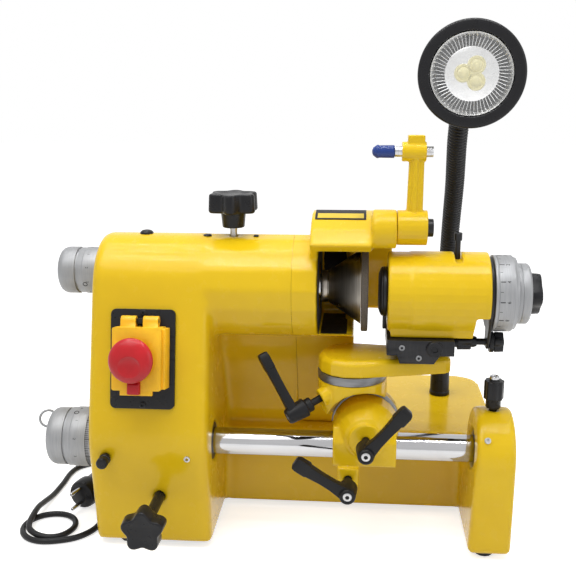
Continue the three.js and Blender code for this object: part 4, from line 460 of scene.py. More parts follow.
def select_points(piece, wanted):
    """Leaves only the wanted points of a piece selected, and goes into edit mode."""
    bpy.ops.object.mode_set(mode="OBJECT")
    mesh = piece.data
    for group in (mesh.polygons, mesh.edges):
        for item in group:
            item.select = False
    for point in mesh.vertices:
        point.select = wanted(point)
    bpy.ops.object.mode_set(mode="EDIT")


def lobed(name, radius, lobes, dip, low, high, dish=0.0):
    """A lobed grip along Z: its outline is drawn in between the lobes, then raised, with a dished top."""
    steps = 12
    clear_selection()
    bpy.ops.mesh.primitive_circle_add(vertices=lobes * steps, radius=radius * MM, fill_type="NGON")
    piece = bpy.context.object
    piece.name = name
    start = math.pi / 2
    for step in range(1, steps // 2 + 1):
        def in_step(point, step=step):
            turn = (math.atan2(point.co.y, point.co.x) - start) * lobes / (2 * math.pi)
            return round(abs(turn - round(turn)) * steps) == step
        select_points(piece, in_step)
        share = 1 - dip * (1 - math.cos(2 * math.pi * step / steps))
        bpy.ops.transform.resize(value=(share, share, 1), center_override=(0, 0, 0))
    bpy.ops.mesh.select_all(action="SELECT")
    bpy.ops.transform.translate(value=(0, 0, low * MM))
    bpy.ops.mesh.extrude_region_move(TRANSFORM_OT_translate={"value": (0, 0, (high - low) * MM)})
    if dish:
        bpy.ops.transform.resize(value=(0.96, 0.96, 1), center_override=(0, 0, high * MM))
        bpy.ops.mesh.extrude_region_move(TRANSFORM_OT_translate={"value": (0, 0, 0)})
        bpy.ops.transform.resize(value=(0.62, 0.62, 1), center_override=(0, 0, high * MM))
        bpy.ops.transform.translate(value=(0, 0, -dish * MM))
    close_edit()
    return piece


def copied(piece, matrices, name):
    """Copies of a piece, each with its own mesh, stood at the matrices and joined."""
    made = []
    for matrix in matrices:
        one = piece.copy()
        one.data = piece.data.copy()
        bpy.context.scene.collection.objects.link(one)
        one.matrix_world = matrix
        made.append(one)
    bpy.data.objects.remove(piece)
    clear_selection()
    for one in made:
        one.select_set(True)
    bpy.context.view_layer.objects.active = made[0]
    bpy.ops.object.transform_apply(location=True, rotation=True, scale=True)
    return joined(name, made)


def spun(name, radius, thick, left, right, first, last, steps=32):
    """A curved sheet about the X axis, from one angle to another, counted from straight up to the front."""
    clear_selection()
    bpy.ops.mesh.primitive_plane_add(size=1.0)
    piece = bpy.context.object
    piece.name = name
    piece.scale = ((right - left) * MM, thick * MM, 1)
    piece.rotation_euler = (math.pi / 2, 0, 0)
    piece.location = ((left + right) / 2 * MM, 0, (radius + thick / 2) * MM)
    bpy.ops.object.transform_apply(location=True, rotation=True, scale=True)
    edit_all()
    bpy.ops.mesh.spin(steps=steps, angle=math.radians(first - last), center=(0, 0, 0), axis=(1, 0, 0))
    bpy.ops.mesh.select_all(action="SELECT")
    bpy.ops.mesh.remove_doubles(threshold=0.000001)
    close_edit()
    return placed(piece, Matrix.Rotation(math.radians(first), 4, "X"))


def stood(point, outward, grip):
    """The matrix that stands a piece's Z along outward and its X near grip at a point."""
    outward = Vector(outward).normalized()
    across = outward.cross(Vector(grip)).normalized()
    along = across.cross(outward)
    return Matrix.Translation(point) @ Matrix((along, across, outward)).transposed().to_4x4()


def written(text, height, matrix, name):
    """A raised number, made a mesh before it is stood at its place."""
    clear_selection()
    bpy.ops.object.text_add()
    piece = bpy.context.object
    piece.data.body = text
    piece.data.size = height * MM
    piece.data.extrude = 0.00006
    piece.data.align_x = "CENTER"
    piece.data.align_y = "CENTER"
    bpy.ops.object.convert(target="MESH")
    piece = bpy.context.object
    piece.name = name
    return placed(piece, matrix)


def curve_through(points):
    """The smooth curve through points, as pieces: start and its direction, end and its direction."""
    before = points[0] * 2 - points[1]
    after = points[-1] * 2 - points[-2]
    row = [before] + points + [after]
    made = []
    for a, b, c, d in zip(row, row[1:], row[2:], row[3:]):
        first, middle, last = ((q - p).length ** 0.5 for p, q in ((a, b), (b, c), (c, d)))
        start = (b - a) / first - (c - a) / (first + middle) + (c - b) / middle
        end = (c - b) / middle - (d - b) / (middle + last) + (d - c) / last
        made.append((b, start * middle, c, end * middle))
    return made


def sampled(points, count):
    """Points at even distances along the smooth curve, and the curve's length."""
    fine = []
    steps = 60
    for b, start, c, end in curve_through(points):
        for i in range(steps):
            t = i / steps
            fine.append(b * (2 * t**3 - 3 * t**2 + 1) + start * (t**3 - 2 * t**2 + t)
                        + c * (3 * t**2 - 2 * t**3) + end * (t**3 - t**2))
    fine.append(points[-1])
    lengths = [0.0]
    for p, q in zip(fine, fine[1:]):
        lengths.append(lengths[-1] + (q - p).length)
    made, place = [], 0
    for i in range(count + 1):
        wanted = lengths[-1] * i / count
        while place < len(lengths) - 2 and lengths[place + 1] < wanted:
            place += 1
        share = (wanted - lengths[place]) / (lengths[place + 1] - lengths[place])
        made.append(fine[place].lerp(fine[place + 1], min(1.0, share)))
    return made, lengths[-1]


def united(piece, other, operation="UNION", solver="EXACT"):
    """Joins another solid into a piece, or cuts it out, and drops the other."""
    only(piece)
    modifier = piece.modifiers.new("other_solid", "BOOLEAN")
    modifier.operation = operation
    modifier.solver = solver
    modifier.object = other
    bpy.ops.object.modifier_apply(modifier=modifier.name)
    bpy.data.objects.remove(other)
    return piece


def finished(piece, body, finish, nodes=(), angle=32.0):
    """Gives a piece its finish and smooth shading, and hands it to the body that it rides on."""
    only(piece)
    bpy.ops.object.shade_smooth_by_angle(angle=math.radians(angle))
    if not piece.data.materials:
        piece.data.materials.append(FINISHES[finish])
    else:
        piece.data.materials[0] = FINISHES[finish]
    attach(piece, body)
    if nodes:
        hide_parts(*nodes)
    return piece


def turned_piece(name, profile, point, axis, body, finish, nodes=(), sides=None, hollow=False,
                 edge=None):
    """A turned piece about an axis, with its edges rounded and its finish given."""
    piece = drawn(name, profile, sides, hollow)
    rounded(piece, edge)
    placed(piece, along_axis(point, axis))
    return finished(piece, body, finish, nodes)


# Nodes that keep their shape

# Node, its finish, and how wide its edges are rounded, in metres
KEPT = {
    "switch_cover": ("cover", 0.0008),
    "bottom_cover": ("oxide", 0.0004),
    "foot_front_left": ("rubber", 0.0006),
    "foot_front_right": ("rubber", 0.0006),
    "foot_rear_left": ("rubber", 0.0006),
    "foot_rear_right": ("rubber", 0.0006),
    "motor": ("iron", 0.0006),
    "motor_pulley": ("alloy", 0.0003),
    "spindle_pulley": ("alloy", 0.0003),
    "drive_belt": ("rubber", 0.0003),
    "spindle_sleeve": ("steel", 0.0004),
    "front_bearing": ("steel", 0.0003),
    "rear_bearing": ("steel", 0.0003),
    "spindle_shaft": ("steel", 0.0004),
    "wheel_nut": ("oxide", 0.0003),
    "sleeve_feed_bracket": ("oxide", 0.0006),
    "bar_sleeve_left": ("oxide", 0.0004),
    "bar_sleeve_right": ("oxide", 0.0004),
    "diamond_holder": ("steel", 0.0003),
    "switch_body": ("satin_moulding", 0.0007),
    "carriage": ("oxide", 0.0007),
    "index_spindle": ("oxide", 0.0004),
    "index_flange": ("oxide", 0.0004),
    "tilt_scale_ring": ("ring", 0.0004),
    "swivel_scale_ring": ("ring", 0.0004),
    "start_button": ("start", 0.0004),
    "stop_button": ("stop", 0.0004),
}


def round_node(node, width):
    """Welds a node's loose triangles and rounds its edges, by live modifiers."""
    weld = node.modifiers.new("weld", "WELD")
    weld.merge_threshold = 0.00001
    bevel = node.modifiers.new("rounding", "BEVEL")
    bevel.width = width
    bevel.segments = 2
    bevel.limit_method = "ANGLE"
    bevel.angle_limit = math.radians(35)
    bevel.use_clamp_overlap = True
    bevel.harden_normals = True


class GRINDER_OT_finishes(bpy.types.Operator):
    """Make the finishes and dress the nodes that keep their shape."""
    bl_idname = "grinder.finishes"
    bl_label = "Finishes"

    def execute(self, context):
        make_finishes()
        for name, (finish, width) in KEPT.items():
            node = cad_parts[name]
            node.data.materials.clear()
            node.data.materials.append(FINISHES[finish])
            round_node(node, width)
            for face in node.data.polygons:
                face.use_smooth = True
        return {"FINISHED"}


# Castings

# Node, body, finish, voxel in metres, smoothing passes
CASTINGS = [
    ("wheel_guard", "machine_frame", "paint", 0.0016, 14),
    ("slide_block", "block", "paint", 0.0010, 10),
    ("tilt_bracket", "bracket", "paint", 0.0010, 14),
    ("swivel_arm", "arm", "paint", 0.0010, 16),
    ("head_body", "head", "paint", 0.0010, 14),
    ("dresser_arm", "dresser", "paint", 0.0007, 6),
    ("base_casting", "machine_frame", "paint", 0.0028, 8),
]
# The joint's plane, the side that it is drawn past, and the height that it begins at
SEAMS = {"base_casting": (88.2, 1, 99.0), "wheel_guard": (88.5, -1, 0.0)}
# How far a joint's face is drawn past its plane before the skin, and how deep the cut then is
JOINT_PAST, JOINT_CUT = 6, 12
# What is left of the housing's triangles
HOUSING_SHARE = 0.68
# Room in the housing's skin round a turning piece, before it and beyond its start
ROOM_ROUND, ROOM_BEFORE, ROOM_BEYOND = 1.5, 3.2, 12


def middle_line(low, high):
    """The point at X = 0 on the line along X through the middle of a box."""
    return Vector((0, (low.y + high.y) / 2, (low.z + high.z) / 2))


def cast_skin(name, body, finish, voxel, passes):
    """A cast piece with the soft corners that a mould leaves, over a merged copy of its node."""
    clear_selection()
    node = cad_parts[name]
    piece = bpy.data.objects.new(name + "_skin", node.data.copy())
    bpy.context.scene.collection.objects.link(piece)
    only(piece)
    edit_all()
    bpy.ops.mesh.remove_doubles(threshold=0.00001)
    seam = SEAMS.get(name)
    if seam:
        plane, side, foot = at(seam[0], 0, 0).x, seam[1], seam[2] * MM
        select_points(piece, lambda point: abs(point.co.x - plane) < 0.0001 and point.co.z > foot)
        bpy.ops.transform.translate(value=(side * JOINT_PAST * MM, 0, 0))
    bpy.ops.object.mode_set(mode="OBJECT")
    remesh = piece.modifiers.new("skin", "REMESH")
    remesh.mode = "VOXEL"
    remesh.voxel_size = voxel
    bpy.ops.object.modifier_apply(modifier=remesh.name)
    soften = piece.modifiers.new("soften", "SMOOTH")
    soften.factor = 0.5
    soften.iterations = passes
    bpy.ops.object.modifier_apply(modifier=soften.name)
    if name == "base_casting":
        thin = piece.modifiers.new("thin", "DECIMATE")
        thin.ratio = HOUSING_SHARE
        bpy.ops.object.modifier_apply(modifier=thin.name)
    if seam:
        past = seam[0] + side * JOINT_CUT
        seat = block("joint_seat", (min(seam[0], past), -70, seam[2]), (max(seam[0], past), 400, 420))
        united(piece, placed(seat, Matrix.Translation(ORIGIN)), "DIFFERENCE", "MANIFOLD")
    if name == "base_casting":
        for turning in ("spindle_pulley", "spindle_shaft"):
            low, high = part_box(turning)
            radius = (high.z - low.z) / 2 / MM + ROOM_ROUND
            start = low.x / MM
            room = drawn(turning + "_room", [(start - ROOM_BEFORE, radius), (start + ROOM_BEYOND, radius)],
                         64)
            placed(room, along_axis(middle_line(low, high), X_AXIS))
            united(piece, room, "DIFFERENCE", "MANIFOLD")
    return finished(piece, body, finish, (name,), angle=40)


class GRINDER_OT_castings(bpy.types.Operator):
    """Skin the painted castings with the soft corners of cast iron."""
    bl_idname = "grinder.castings"
    bl_label = "Castings"

    def execute(self, context):
        for casting in CASTINGS:
            cast_skin(*casting)
        return {"FINISHED"}


# Cord

CORD_ROUTE = [
    (-100, 356.5, 40), (-100.5, 378, 38.6), (-106, 389, 34), (-115.5, 397, 27.3), (-128, 400, 19.8),
    (-140.5, 397, 12.6), (-150, 389, 7), (-155.5, 378, 4.2), (-155.5, 352, 4), (-151, 315, 4),
    (-144, 265, 4), (-140, 215, 4), (-139, 160, 4), (-139, 105, 4), (-139, 54.5, 4),
    (-144, 31.5, 4), (-159.5, 13, 4), (-191.5, 3, 4), (-208.5, 6.5, 4), (-221, 17.5, 4),
    (-226.5, 33, 4), (-223.5, 49, 4), (-213, 61, 4), (-198, 66, 4), (-183, 63, 4),
    (-172, 53, 4), (-167.5, 39.5, 4), (-170.5, 25.5, 4), (-179.5, 15, 4), (-192.5, 11, 5.1),
    (-205.5, 13, 7.6), (-215.5, 21.5, 10.3), (-221, 62, 12.2), (-221, 86, 8.6), (-219.5, 112, 4.6),
    (-218, 145, 4), (-218, 174, 4), (-213.5, 191.5, 4), (-200.5, 204, 4), (-183, 209, 4.9),
    (-166, 204, 8.8), (-153.5, 192.5, 13.5), (-148.5, 177, 17.1), (-150.22, 163.64, 18.3),
    (-154.55, 150.33, 18.3),
]
PLUG_FRAME = Matrix.Translation(at(*PLUG_PLACE)) @ Matrix.Rotation(math.radians(PLUG_TURN), 4, "Z")
# Outlines of turned pieces are given as (along the axis, radius), in millimetres
RELIEF_RIBS = 4
PLUG_OUTLINE = [
    (-26, 14.5), (-25, 16.4), (-22, 17.4), (-14, 17.8), (-8, 17.6), (-5, 15.4), (2, 14.6), (9, 15.2),
    (12, 14.6), (22, 9.8), (27, 8.0), (28.5, 7.4), (28.5, 6.2), (30.5, 6.2), (30.5, 7.0), (32.5, 6.8),
    (32.5, 5.9), (34.5, 5.9), (34.5, 6.4), (36.5, 6.2), (36.5, 5.6), (40, 5.2),
]
PIN_OUTLINE = [(-45, 1.3), (-44.2, 2.1), (-43.2, 2.4), (-20, 2.4)]
# Half of the distance between the plug's pins
PIN_APART = 9.5


class GRINDER_OT_cord(bpy.types.Operator):
    """Lay the mains cord from its strain relief to its plug."""
    bl_idname = "grinder.cord"
    bl_label = "Cord and plug"

    def execute(self, context):
        points = [at(*point) for point in CORD_ROUTE]
        line = bpy.data.curves.new("mains_cord", "CURVE")
        line.dimensions = "3D"
        line.resolution_u = 8
        line.bevel_depth = sizes().cord_diameter / 2
        line.bevel_resolution = 5
        line.use_fill_caps = True
        spline = line.splines.new("BEZIER")
        spline.bezier_points.add(len(points) - 1)
        for point, place in zip(spline.bezier_points, points):
            point.handle_left_type = point.handle_right_type = "FREE"
            point.co = point.handle_left = point.handle_right = place
        for i, (_, start, _, end) in enumerate(curve_through(points)):
            spline.bezier_points[i].handle_right = points[i] + start / 3
            spline.bezier_points[i + 1].handle_left = points[i + 1] - end / 3
        cord = bpy.data.objects.new("mains_cord", line)
        context.scene.collection.objects.link(cord)
        line.materials.append(FINISHES["cord"])
        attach(cord, "machine_frame")
        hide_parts("power_cord")

        relief = [(-8, 5), (0.3, 5), (0.3, 10), (5.5, 10), (5.5, 8)]
        for i in range(RELIEF_RIBS):
            start = 6.5 + 2.9 * i
            radius = 7.9 - 0.5 * i
            relief += [(start, radius), (start + 1.5, radius - 0.2)]
            relief += [(start + 1.5, radius - 1.3), (start + 2.5, radius - 1.3)]
        relief += [(18, 5.6), (18, 3.6), (-8, 3.6)]
        turned_piece("cord_relief", relief, at(*GLAND_PLACE), Y_AXIS, "machine_frame", "rubber",
                     ("cord_gland",), sides=32, hollow=True, edge=0.00025)

        y_frame = PLUG_FRAME @ Y_AXIS.to_track_quat("Z", "X").to_matrix().to_4x4()
        body = drawn("mains_plug", PLUG_OUTLINE, 40)
        rounded(body, 0.0004)
        placed(body, y_frame)
        finished(body, "machine_frame", "satin_moulding", ("power_plug",))
        pin = drawn("plug_pin", PIN_OUTLINE, 20)
        pins = copied(pin, [y_frame @ Matrix.Translation((side * PIN_APART * MM, 0, 0)) for side in (-1, 1)],
                      "plug_pins")
        finished(pins, "machine_frame", "bright")
        bpy.context.view_layer.update()
        return {"FINISHED"}


# Feed dials

# Lengths of a dial's half and single lines as shares of its numbered line, and the numbered line's width
HALF_LINE, SINGLE_LINE, NUMBERED_WIDTH = 0.8, 0.55, 1.9


def dial_marks(name, body, axis_point, radius, count, line_from, line_long, every, number_at, height,
               label_step, face=1):
    """Engraved lines and numbers round a dial about the X axis.

    The numbers have their feet towards plus X where face is 1, and towards minus X where it is -1.
    """
    mark = block(name + "_line", (0, -0.22, -0.12), (1, 0.22, 0.12))
    matrices = []
    for i in range(count):
        length, width = line_long * SINGLE_LINE, 1.0
        if i % every == 0:
            length, width = line_long, NUMBERED_WIDTH
        elif every > 2 and i % (every // 2) == 0:
            length = line_long * HALF_LINE
        turn = Matrix.Rotation(2 * math.pi * i / count, 4, "X")
        size = Matrix.Diagonal((length * face, width, 1.0, 1.0))
        matrices.append(Matrix.Translation(axis_point) @ turn
                        @ Matrix.Translation(Vector((line_from, 0, radius)) * MM) @ size)
    marks = [copied(mark, matrices, name + "_lines")]
    for i in range(0, count, every):
        turn = Matrix.Rotation(2 * math.pi * i / count, 4, "X")
        upright = Matrix(((0, -face, 0), (face, 0, 0), (0, 0, 1))).to_4x4()
        matrix = (Matrix.Translation(axis_point) @ turn
                  @ Matrix.Translation(Vector((number_at, 0, radius)) * MM) @ upright)
        marks.append(written(str(i // every * label_step), height, matrix, name + "_number"))
    piece = joined(name, marks)
    only(piece)
    edit_all()
    close_edit()
    return finished(piece, body, "ink")


def set_screw_hole(name, body, point, outward, radius):
    """A near-black cup where a set screw is sunk in a dial: the screw's own black, with painted shade on the
    walls of its hole.
    """
    rim = drawn(name, [(-1.2, radius), (0.12, radius), (0.12, radius * 0.72), (-0.9, radius * 0.66),
                       (-0.9, radius * 0.4)], 24)
    placed(rim, along_axis(point, outward))
    # The near-black finish paints the hole's shade round the black screw
    return finished(rim, body, "black_and_painted_shade")


# Name, which is its body's too, and axis; the dial's radius and length; the knob's radius and length;
# the feed screw's radius and end; the way out of the set screw
FEED_DIALS = [
    ("bar_feed_knob", BAR_LINE, 34.0, 34.0, 32.6, 21.0, 6.0, -88.0, (0, -0.28, 0.96)),
    ("spindle_feed_knob", SPINDLE_DIAL_LINE, 27.6, 38.0, 27.6, 22.0, 5.0, -50.0, (0, -0.907, -0.42)),
]
# The groove between a knob and its dial, and how far the dial's fine groove lies from its end
KNOB_GROOVE = 2.5
FINE_GROOVE = 9.4


def feed_dial(name, axis_line, radius, length, knob_radius, knob, screw, screw_to, screw_out):
    """A feed knob with its graduated dial, its screw and its sunk set screw, all turned about X."""
    start = (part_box(name)[0].x - ORIGIN.x) / MM
    end = start + knob + KNOB_GROOVE + length
    neck = end - length
    profile = [(start, knob_radius - 11), (start + 0.5, knob_radius - 6.2), (start + 2.2, knob_radius - 3.2),
               (start + 4.6, knob_radius - 1.2), (start + 7.6, knob_radius - 0.2), (start + 10, knob_radius),
               (neck - KNOB_GROOVE, knob_radius), (neck - KNOB_GROOVE, knob_radius - 2),
               (neck, knob_radius - 2), (neck, radius - 0.7), (neck + 6, radius - 0.7), (neck + 7, radius),
               (end - FINE_GROOVE, radius), (end - FINE_GROOVE, radius - 0.9), (end - 8.9, radius - 0.9),
               (end - 8.9, radius - 0.25), (end, radius - 0.25), (end, screw), (screw_to, screw)]
    point = at(0, *axis_line)
    turned_piece(name + "_turned", profile, point, X_AXIS, name, "dial", (name,), edge=0.0005)
    dial_marks(name + "_scale", name, point, radius + 0.02, count=100, line_from=end - 9.6, line_long=-7.5,
               every=10, number_at=neck + 12.5, height=4.2, label_step=1, face=-1)
    hole = neck + 9.5
    outward = Vector(screw_out).normalized()
    set_screw_hole(name + "_set_screw", name, point + X_AXIS * hole * MM + outward * radius * MM,
                   outward, 2.9)


class GRINDER_OT_dials(bpy.types.Operator):
    """Turn the two feed knobs, with their graduations and set screws."""
    bl_idname = "grinder.dials"
    bl_label = "Feed dials"

    def execute(self, context):
        for dial in FEED_DIALS:
            feed_dial(*dial)
        clear_selection()
        bpy.ops.mesh.primitive_torus_add(major_radius=0.0092, minor_radius=0.0014,
                                         major_segments=48, minor_segments=12)
        ring = bpy.context.object
        ring.name = "bar_feed_finger_ring"
        placed(ring, Matrix.Translation(at(*FINGER_RING_PLACE)) @ Matrix.Rotation(math.radians(68), 4, "X")
               @ Matrix.Rotation(math.radians(20), 4, "Y"))
        finished(ring, "bar_feed_knob", "dial")
        return {"FINISHED"}


# Wheel and guide bar

class GRINDER_OT_wheel(bpy.types.Operator):
    """Turn the cup wheel and its rim, and lay near-black sheets in its pocket that paint the pocket's shade.
    """
    bl_idname = "grinder.wheel"
    bl_label = "Grinding wheel"

    def execute(self, context):
        point = at(0, *SPINDLE_LINE)
        cup = [(119, 10.3), (119, 17.4), (119.5, 17.9), (124.9, 17.9), (125.4, 17.4), (125.4, 15.5),
               (126.8, 15.5), (126.8, 17.9), (161.6, 41.6), (162.2, 42), (162.2, 36), (136, 18.2),
               (136, 10.3)]
        turned_piece("wheel_cup", cup, point, X_AXIS, "spindle", "cone", ("wheel_body",),
                     sides=128, hollow=True, edge=0.0003)
        rim = [(162.5, 37), (162.5, 49), (163.5, 50), (169, 50), (170, 49), (170, 37)]
        turned_piece("wheel_rim", rim, point, X_AXIS, "spindle", "grit", ("abrasive_rim",),
                     sides=128, hollow=True, edge=0.0002)
        # Near-black sheets on the pocket's face, round the wheel under the hood and on the pocket's floor
        # paint the pocket's deep shade
        disc = drawn("pocket_shade_face", [(116.05, 26.6), (116.05, 56.6), (116.6, 56.6), (116.6, 26.6)], 96,
                     hollow=True)
        placed(disc, along_axis(point, X_AXIS))
        only(disc)
        edit_all()
        bpy.ops.mesh.bisect(plane_co=at(116, 86, POCKET_FLOOR), plane_no=(0, 0, 1), use_fill=True,
                            clear_inner=True)
        close_edit()
        shell = placed(spun("pocket_shade_shell", 71.2, 0.5, 116.7, 147.4, -118, 44), Matrix.Translation(point))
        floor = block("pocket_shade_floor", (116.7, 60, 240.1), (147.2, 143, 240.5))
        placed(floor, Matrix.Translation(ORIGIN))
        for piece in (disc, shell, floor):
            finished(piece, "machine_frame", "black_and_painted_shade")
        return {"FINISHED"}


class GRINDER_OT_guide_bar(bpy.types.Operator):
    """Turn the chromed guide bar."""
    bl_idname = "grinder.guide_bar"
    bl_label = "Guide bar"

    def execute(self, context):
        start = (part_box("guide_bar")[0].x - ORIGIN.x) / MM
        bar = [(start + 46, 6.3), (start, 6.3), (start, 13.8), (start + 1.2, 15), (315.8, 15), (317, 13.8)]
        turned_piece("guide_bar_turned", bar, at(0, *BAR_LINE), X_AXIS, "guide_bar", "bright",
                     ("guide_bar",), sides=128, edge=0.0002)
        return {"FINISHED"}


# Work head

class GRINDER_OT_work_head(bpy.types.Operator):
    """Turn the index dial, the collet nut, the drawbar knob and the small screws of the head."""
    bl_idname = "grinder.work_head"
    bl_label = "Work head"

    def execute(self, context):
        point = at(0, *HEAD_LINE)
        dial = [(300.4, 14.7), (300.4, 40.8), (303.4, 40.8), (303.4, 40.2), (304.0, 40.2), (304.0, 40.8),
                (320.2, 40.8), (322.3, 38.8), (324.3, 38.4), (324.3, 31.3), (325.3, 32.3), (329, 32.3),
                (329, 31.7), (329.6, 31.7), (329.6, 32.3), (336.8, 32.3), (338.8, 30.3), (338.8, 9.3),
                (324.6, 9.3), (324.6, 14.7)]
        turned_piece("index_dial_turned", dial, point, X_AXIS, "indexer", "dial",
                     ("index_dial",), sides=128, hollow=True, edge=0.0003)
        dial_marks("index_dial_scale", "indexer", point, 40.82, count=24, line_from=304.6, line_long=5.0,
                   every=2, number_at=313.4, height=5.2, label_step=2)
        nut = [(181, 8), (181, 19), (182.2, 22.5), (183.6, 25.6), (184.6, 26.5), (185.7, 26.5), (185.7, 8)]
        turned_piece("collet_nut_turned", nut, point, X_AXIS, "collet_nut", "oxide",
                     ("collet_nut",), sides=96, hollow=True, edge=0.0003)
        grip = lobed("drawbar_grip", 22.6, 4, 0.10, 339.1, 351.6, 1.5)
        rounded(grip, 0.0016, 3)
        rod = drawn("drawbar_rod", [(219.1, 9), (345, 9)], 40)
        drawbar = placed(joined("drawbar_turned", [grip, rod]), along_axis(point, X_AXIS))
        finished(drawbar, "drawbar", "satin_moulding", ("drawbar_knob",))

        screw = drawn("clamp_screw", [(36.8, 2.9), (56.8, 2.9), (56.8, 4.2), (64.3, 4.2), (64.8, 3.8)], 32)
        socket = drawn("clamp_socket", [(61.5, 2.1), (66, 2.1)], 6)
        united(screw, socket, "DIFFERENCE")
        placed(screw, along_axis(at(263.5, *HEAD_LINE), Z_AXIS))
        finished(screw, "head_clamp_screw", "oxide", ("head_clamp_screw",))

        feed = [(226.9, 3.6), (262, 3.6), (262, 5.6), (265, 6.6), (268, 6.6), (284, 6.2), (287, 5.2),
                (287, 3.6), (299.9, 3.6), (300.2, 11.0), (304.4, 11.4), (304.6, 8.5), (306, 8.5)]
        stem = drawn("head_feed_stem", feed, 32)
        rounded(stem, 0.0003)
        star = lobed("head_feed_star", 11.4, 5, 0.10, 305.2, 315, 0.8)
        rounded(star, 0.0008)
        grip = lobed("head_feed_grip", 9.6, 5, 0.13, 266, 281, 0.6)
        rounded(grip, 0.0008)
        knob = placed(joined("head_feed_turned", [stem, star, grip]), along_axis(at(0, *FEED_LINE), X_AXIS))
        finished(knob, "head_feed_knob", "satin_moulding", ("head_feed_knob",))
        return {"FINISHED"}


# Clamp levers

def socket_screw(name, radius, deep):
    """A round screw head with a hexagon socket, standing on Z = 0."""
    head = drawn(name, [(-deep, radius * 0.98), (0, radius * 0.98), (0.4, radius * 0.8)], 32)
    socket = drawn(name + "_socket", [(-deep * 0.7, radius * 0.5), (2, radius * 0.5)], 6)
    return united(head, socket, "DIFFERENCE")


# Name, which is its body's too; its seat; the way out of its screw; the way of its handle; its reach
LEVERS = [
    ("bar_clamp_lever", BAR_LEVER_SEAT, (0, -1, 0), (-0.85, 0, 0.53), 66.0),
    ("tilt_clamp_lever", TILT_LEVER_SEAT, (0, -1, 0), (0.65, 0, 0.76), 66.0),
    ("swivel_clamp_lever", SWIVEL_LEVER_SEAT, (-0.832, -0.385, -0.398), (-0.552, 0.153, 0.816), 74.0),
]
HUB_OUTLINE = [
    (-9.7, 4), (11.3, 4), (11.3, 7.0), (12.4, 7.9), (18.1, 7.9), (19.2, 10.2), (20.2, 10.6), (38.4, 8.9),
    (41.0, 8.4), (42.3, 7.3), (42.3, 5.2), (40.3, 5.0),
]
# How far a handle's middle lies from its seat along the screw, and how thick it is there
HANDLE_MIDDLE, HANDLE_DEEP = 33.4, 10.4


def clamp_lever(name, seat, outward, grip, reach):
    """A clamp lever: a stepped hub with its screw, and a handle with a raised finger pad."""
    hub = drawn(name + "_hub", HUB_OUTLINE, 48)
    rounded(hub, 0.0004)
    middle, deep = HANDLE_MIDDLE, HANDLE_DEEP
    handle = lofted(name + "_handle", [
        (0, 0, middle, 16.4, deep), (reach * 0.12, 0, middle, 13.6, deep),
        (reach * 0.28, 0, middle, 11.2, deep - 0.6),
        (reach * 0.48, 0, middle, 10.8, deep - 0.8), (reach * 0.66, 0.2, middle, 12.0, deep - 0.4),
        (reach * 0.735, 0.3, middle, 12.6, deep), (reach * 0.75, 0, middle, 14.8, deep + 0.6),
        (reach * 0.93, 0, middle, 14.6, deep + 0.4), (reach * 0.985, 0.4, middle, 12.2, deep - 0.6),
        (reach, 0.6, middle, 8.4, deep - 2.6)])
    rounded(handle, 0.0022, 4, 40)
    placed(handle, Matrix(((0, 0, 1, 0), (1, 0, 0, 0), (0, 1, 0, 0), (0, 0, 0, 1))))
    frame_of_lever = stood(at(*seat), outward, grip)
    lever = placed(joined(name + "_moulded", [hub, handle]), frame_of_lever)
    finished(lever, name, "moulding", (name,), angle=38)
    screw = socket_screw(name + "_screw", 4.9, 2.2)
    placed(screw, frame_of_lever @ Matrix.Translation((0, 0, 0.0414)))
    finished(screw, name, "alloy")


class GRINDER_OT_levers(bpy.types.Operator):
    """Mould the three clamp levers."""
    bl_idname = "grinder.levers"
    bl_label = "Clamp levers"

    def execute(self, context):
        for lever in LEVERS:
            clamp_lever(*lever)
        return {"FINISHED"}


# Star knobs, pin and post knob

